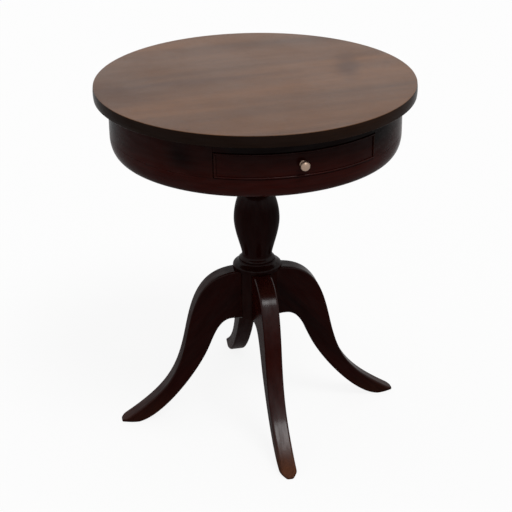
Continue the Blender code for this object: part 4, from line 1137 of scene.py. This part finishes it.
# Knob: a small turned brass knob on the middle of the drawer front, a little tarnished in its hollows.
# A steel screw from inside the drawer holds it.
KNOB_STEPS = 56
KNOB_RADIUS = 7.6 * MM
KNOB_DOME = 5.8 * MM
KNOB_LENGTH = 15 * MM
KNOB_NECK = 3.7 * MM
KNOB_FOOT_RADIUS = 5.6 * MM
KNOB_FOOT_HEIGHT = 1.6 * MM
KNOB_NECK_TOP = 3.2 * MM
KNOB_NECK_FOOT = 2.2 * MM
KNOB_SHELF = 4.2 * MM
KNOB_ROUND = (5.1 * MM, 1.3 * MM)
KNOB_EDGE = 0.3 * MM
BALL_END = -60
BALL_POINTS = 26
FRONT_MIDDLE = (FRONT_FOOT + FRONT_TOP) / 2
KNOB_SCREW = Screw(4.5 * MM, 2.4 * MM, 2.0 * MM, 25.6 * MM, False)

brass = metal_finish(
    "brass", colour=(0.34, 0.245, 0.185), tarnish=(0.16, 0.11, 0.075), gloss=0.36, dull=0.5,
    scale=140, share=0.02, depth=0.04 * MM,
)
ball = arc((0, KNOB_LENGTH - KNOB_DOME), (KNOB_RADIUS, KNOB_DOME), 90, BALL_END, BALL_POINTS)
knob_profile = [
    (0, KNOB_LENGTH),
    *ball[1:],
    (KNOB_NECK, KNOB_NECK_TOP),
    (KNOB_NECK, KNOB_NECK_FOOT),
    (KNOB_SHELF, KNOB_FOOT_HEIGHT),
    KNOB_ROUND,
    (KNOB_FOOT_RADIUS, KNOB_FOOT_HEIGHT / 2),
    (KNOB_FOOT_RADIUS, 0),
    (0, 0),
]
knob = turned("turned_knob", eased(knob_profile, KNOB_EDGE), KNOB_STEPS)
knob.data.materials.append(brass)
knob.location = (0, -DRUM_RADIUS - GAP, FRONT_MIDDLE)
knob.rotation_euler = (math.pi / 2, 0, 0)
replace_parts(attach(smooth(knob, 50), "drawer"), "drawer_knob")
knob_screw_place = (0, -FRONT_BORE + GAP, FRONT_MIDDLE)
drive("steel_knob_screw", KNOB_SCREW, knob_screw_place, -math.pi / 2, steel, "drawer", "knob_screw")

# Floor, light and camera: a plain white studio, lit softly from above.
# The floor is pale to the camera and darker to the light that it throws back; the view is the photo's.
FLOOR_SIZE = 30.0
FLOOR_PALE = (0.95, 0.95, 0.95, 1)
FLOOR_DIM = (0.35, 0.35, 0.35, 1)
FLOOR_SHADOWED = 0.12  # the share of the white floor that shows shadows
SKY_LOW = 0.25
SKY_HIGH = 0.75
FOCAL_PIXELS = 1450
IMAGE_PIXELS = 512
CAMERA_TURN = math.radians(-17.1)
CAMERA_AIM = math.radians(-17.053)
CAMERA_DISTANCE = 2.181
CAMERA_HEIGHT = 1.315
CAMERA_PITCH = math.radians(25.27)
CAMERA_ROLL = -0.012
SENSOR = 36.0
LAMP_TILT = math.radians(30)
LAMP_TURN = math.radians(20)
LAMP_HEIGHT = 2.0
LAMP_SPREAD = math.radians(24)
LAMP_ENERGY = 1.1


def shown_rays(tree):
    """1 for rays that show the background to the camera, in a reflection or through glass."""
    path = node(tree, "ShaderNodeLightPath").outputs
    seen = calc(tree, "MAXIMUM", path["Is Camera Ray"], path["Is Glossy Ray"])
    return calc(tree, "MAXIMUM", seen, path["Is Transmission Ray"])


shape = bmesh.new()
bmesh.ops.create_grid(shape, x_segments=1, y_segments=1, size=FLOOR_SIZE / 2)
floor = place_mesh("studio_floor", shape)
floor_paint = bpy.data.materials.new("floor_paint")
floor_paint.use_nodes = True
tree = floor_paint.node_tree
tree.nodes.remove(tree.nodes["Principled BSDF"])
pale = node(tree, "ShaderNodeBsdfDiffuse", {"Color": FLOOR_PALE})
dim = node(tree, "ShaderNodeBsdfDiffuse", {"Color": FLOOR_DIM})
glow = node(tree, "ShaderNodeEmission", {"Color": (1, 1, 1, 1), "Strength": 1.0})
white = node(tree, "ShaderNodeMixShader", {0: FLOOR_SHADOWED, 1: glow.outputs[0], 2: pale.outputs[0]})
split = node(tree, "ShaderNodeMixShader", {0: shown_rays(tree), 1: dim.outputs[0], 2: white.outputs[0]})
tree.links.new(split.outputs[0], tree.nodes["Material Output"].inputs["Surface"])
floor.data.materials.append(floor_paint)

studio = bpy.data.worlds.new("studio")
bpy.context.scene.world = studio
studio.use_nodes = True
tree = studio.node_tree
direction = node(tree, "ShaderNodeTexCoord").outputs["Generated"]
parts = node(tree, "ShaderNodeSeparateXYZ", {0: direction}).outputs
soft = ranged(tree, parts["Z"], 0.0, 1.0, SKY_LOW, SKY_HIGH)
level = node(tree, "ShaderNodeMix", {0: shown_rays(tree), 2: soft, 3: 1.0}, data_type="FLOAT").outputs[0]
sky = tree.nodes["Background"]
sky.inputs["Color"].default_value = (1, 1, 1, 1)
tree.links.new(level, sky.inputs["Strength"])

lamp = bpy.data.lights.new("overhead_softbox", "SUN")
lamp.energy = LAMP_ENERGY
lamp.angle = LAMP_SPREAD
overhead = bpy.data.objects.new("overhead_softbox", lamp)
overhead.location = (0, 0, LAMP_HEIGHT)
overhead.rotation_euler = (LAMP_TILT, 0, LAMP_TURN)
bpy.context.scene.collection.objects.link(overhead)

lens = bpy.data.cameras.new("photo_view")
lens.sensor_width = SENSOR
lens.lens = SENSOR * FOCAL_PIXELS / IMAGE_PIXELS
camera = bpy.data.objects.new("photo_view", lens)
bpy.context.scene.collection.objects.link(camera)
camera.location = (
    math.sin(CAMERA_TURN) * CAMERA_DISTANCE,
    -math.cos(CAMERA_TURN) * CAMERA_DISTANCE,
    CAMERA_HEIGHT,
)
forward = Vector((
    -math.sin(CAMERA_AIM) * math.cos(CAMERA_PITCH),
    math.cos(CAMERA_AIM) * math.cos(CAMERA_PITCH),
    -math.sin(CAMERA_PITCH),
))
level_right = forward.cross(Vector((0, 0, 1))).normalized()
level_up = level_right.cross(forward)
right = math.cos(CAMERA_ROLL) * level_right + math.sin(CAMERA_ROLL) * level_up
up = math.cos(CAMERA_ROLL) * level_up - math.sin(CAMERA_ROLL) * level_right
camera.rotation_euler = Matrix((right, up, -forward)).transposed().to_euler()
bpy.context.scene.camera = camera
bpy.context.scene.view_settings.view_transform = "Standard"
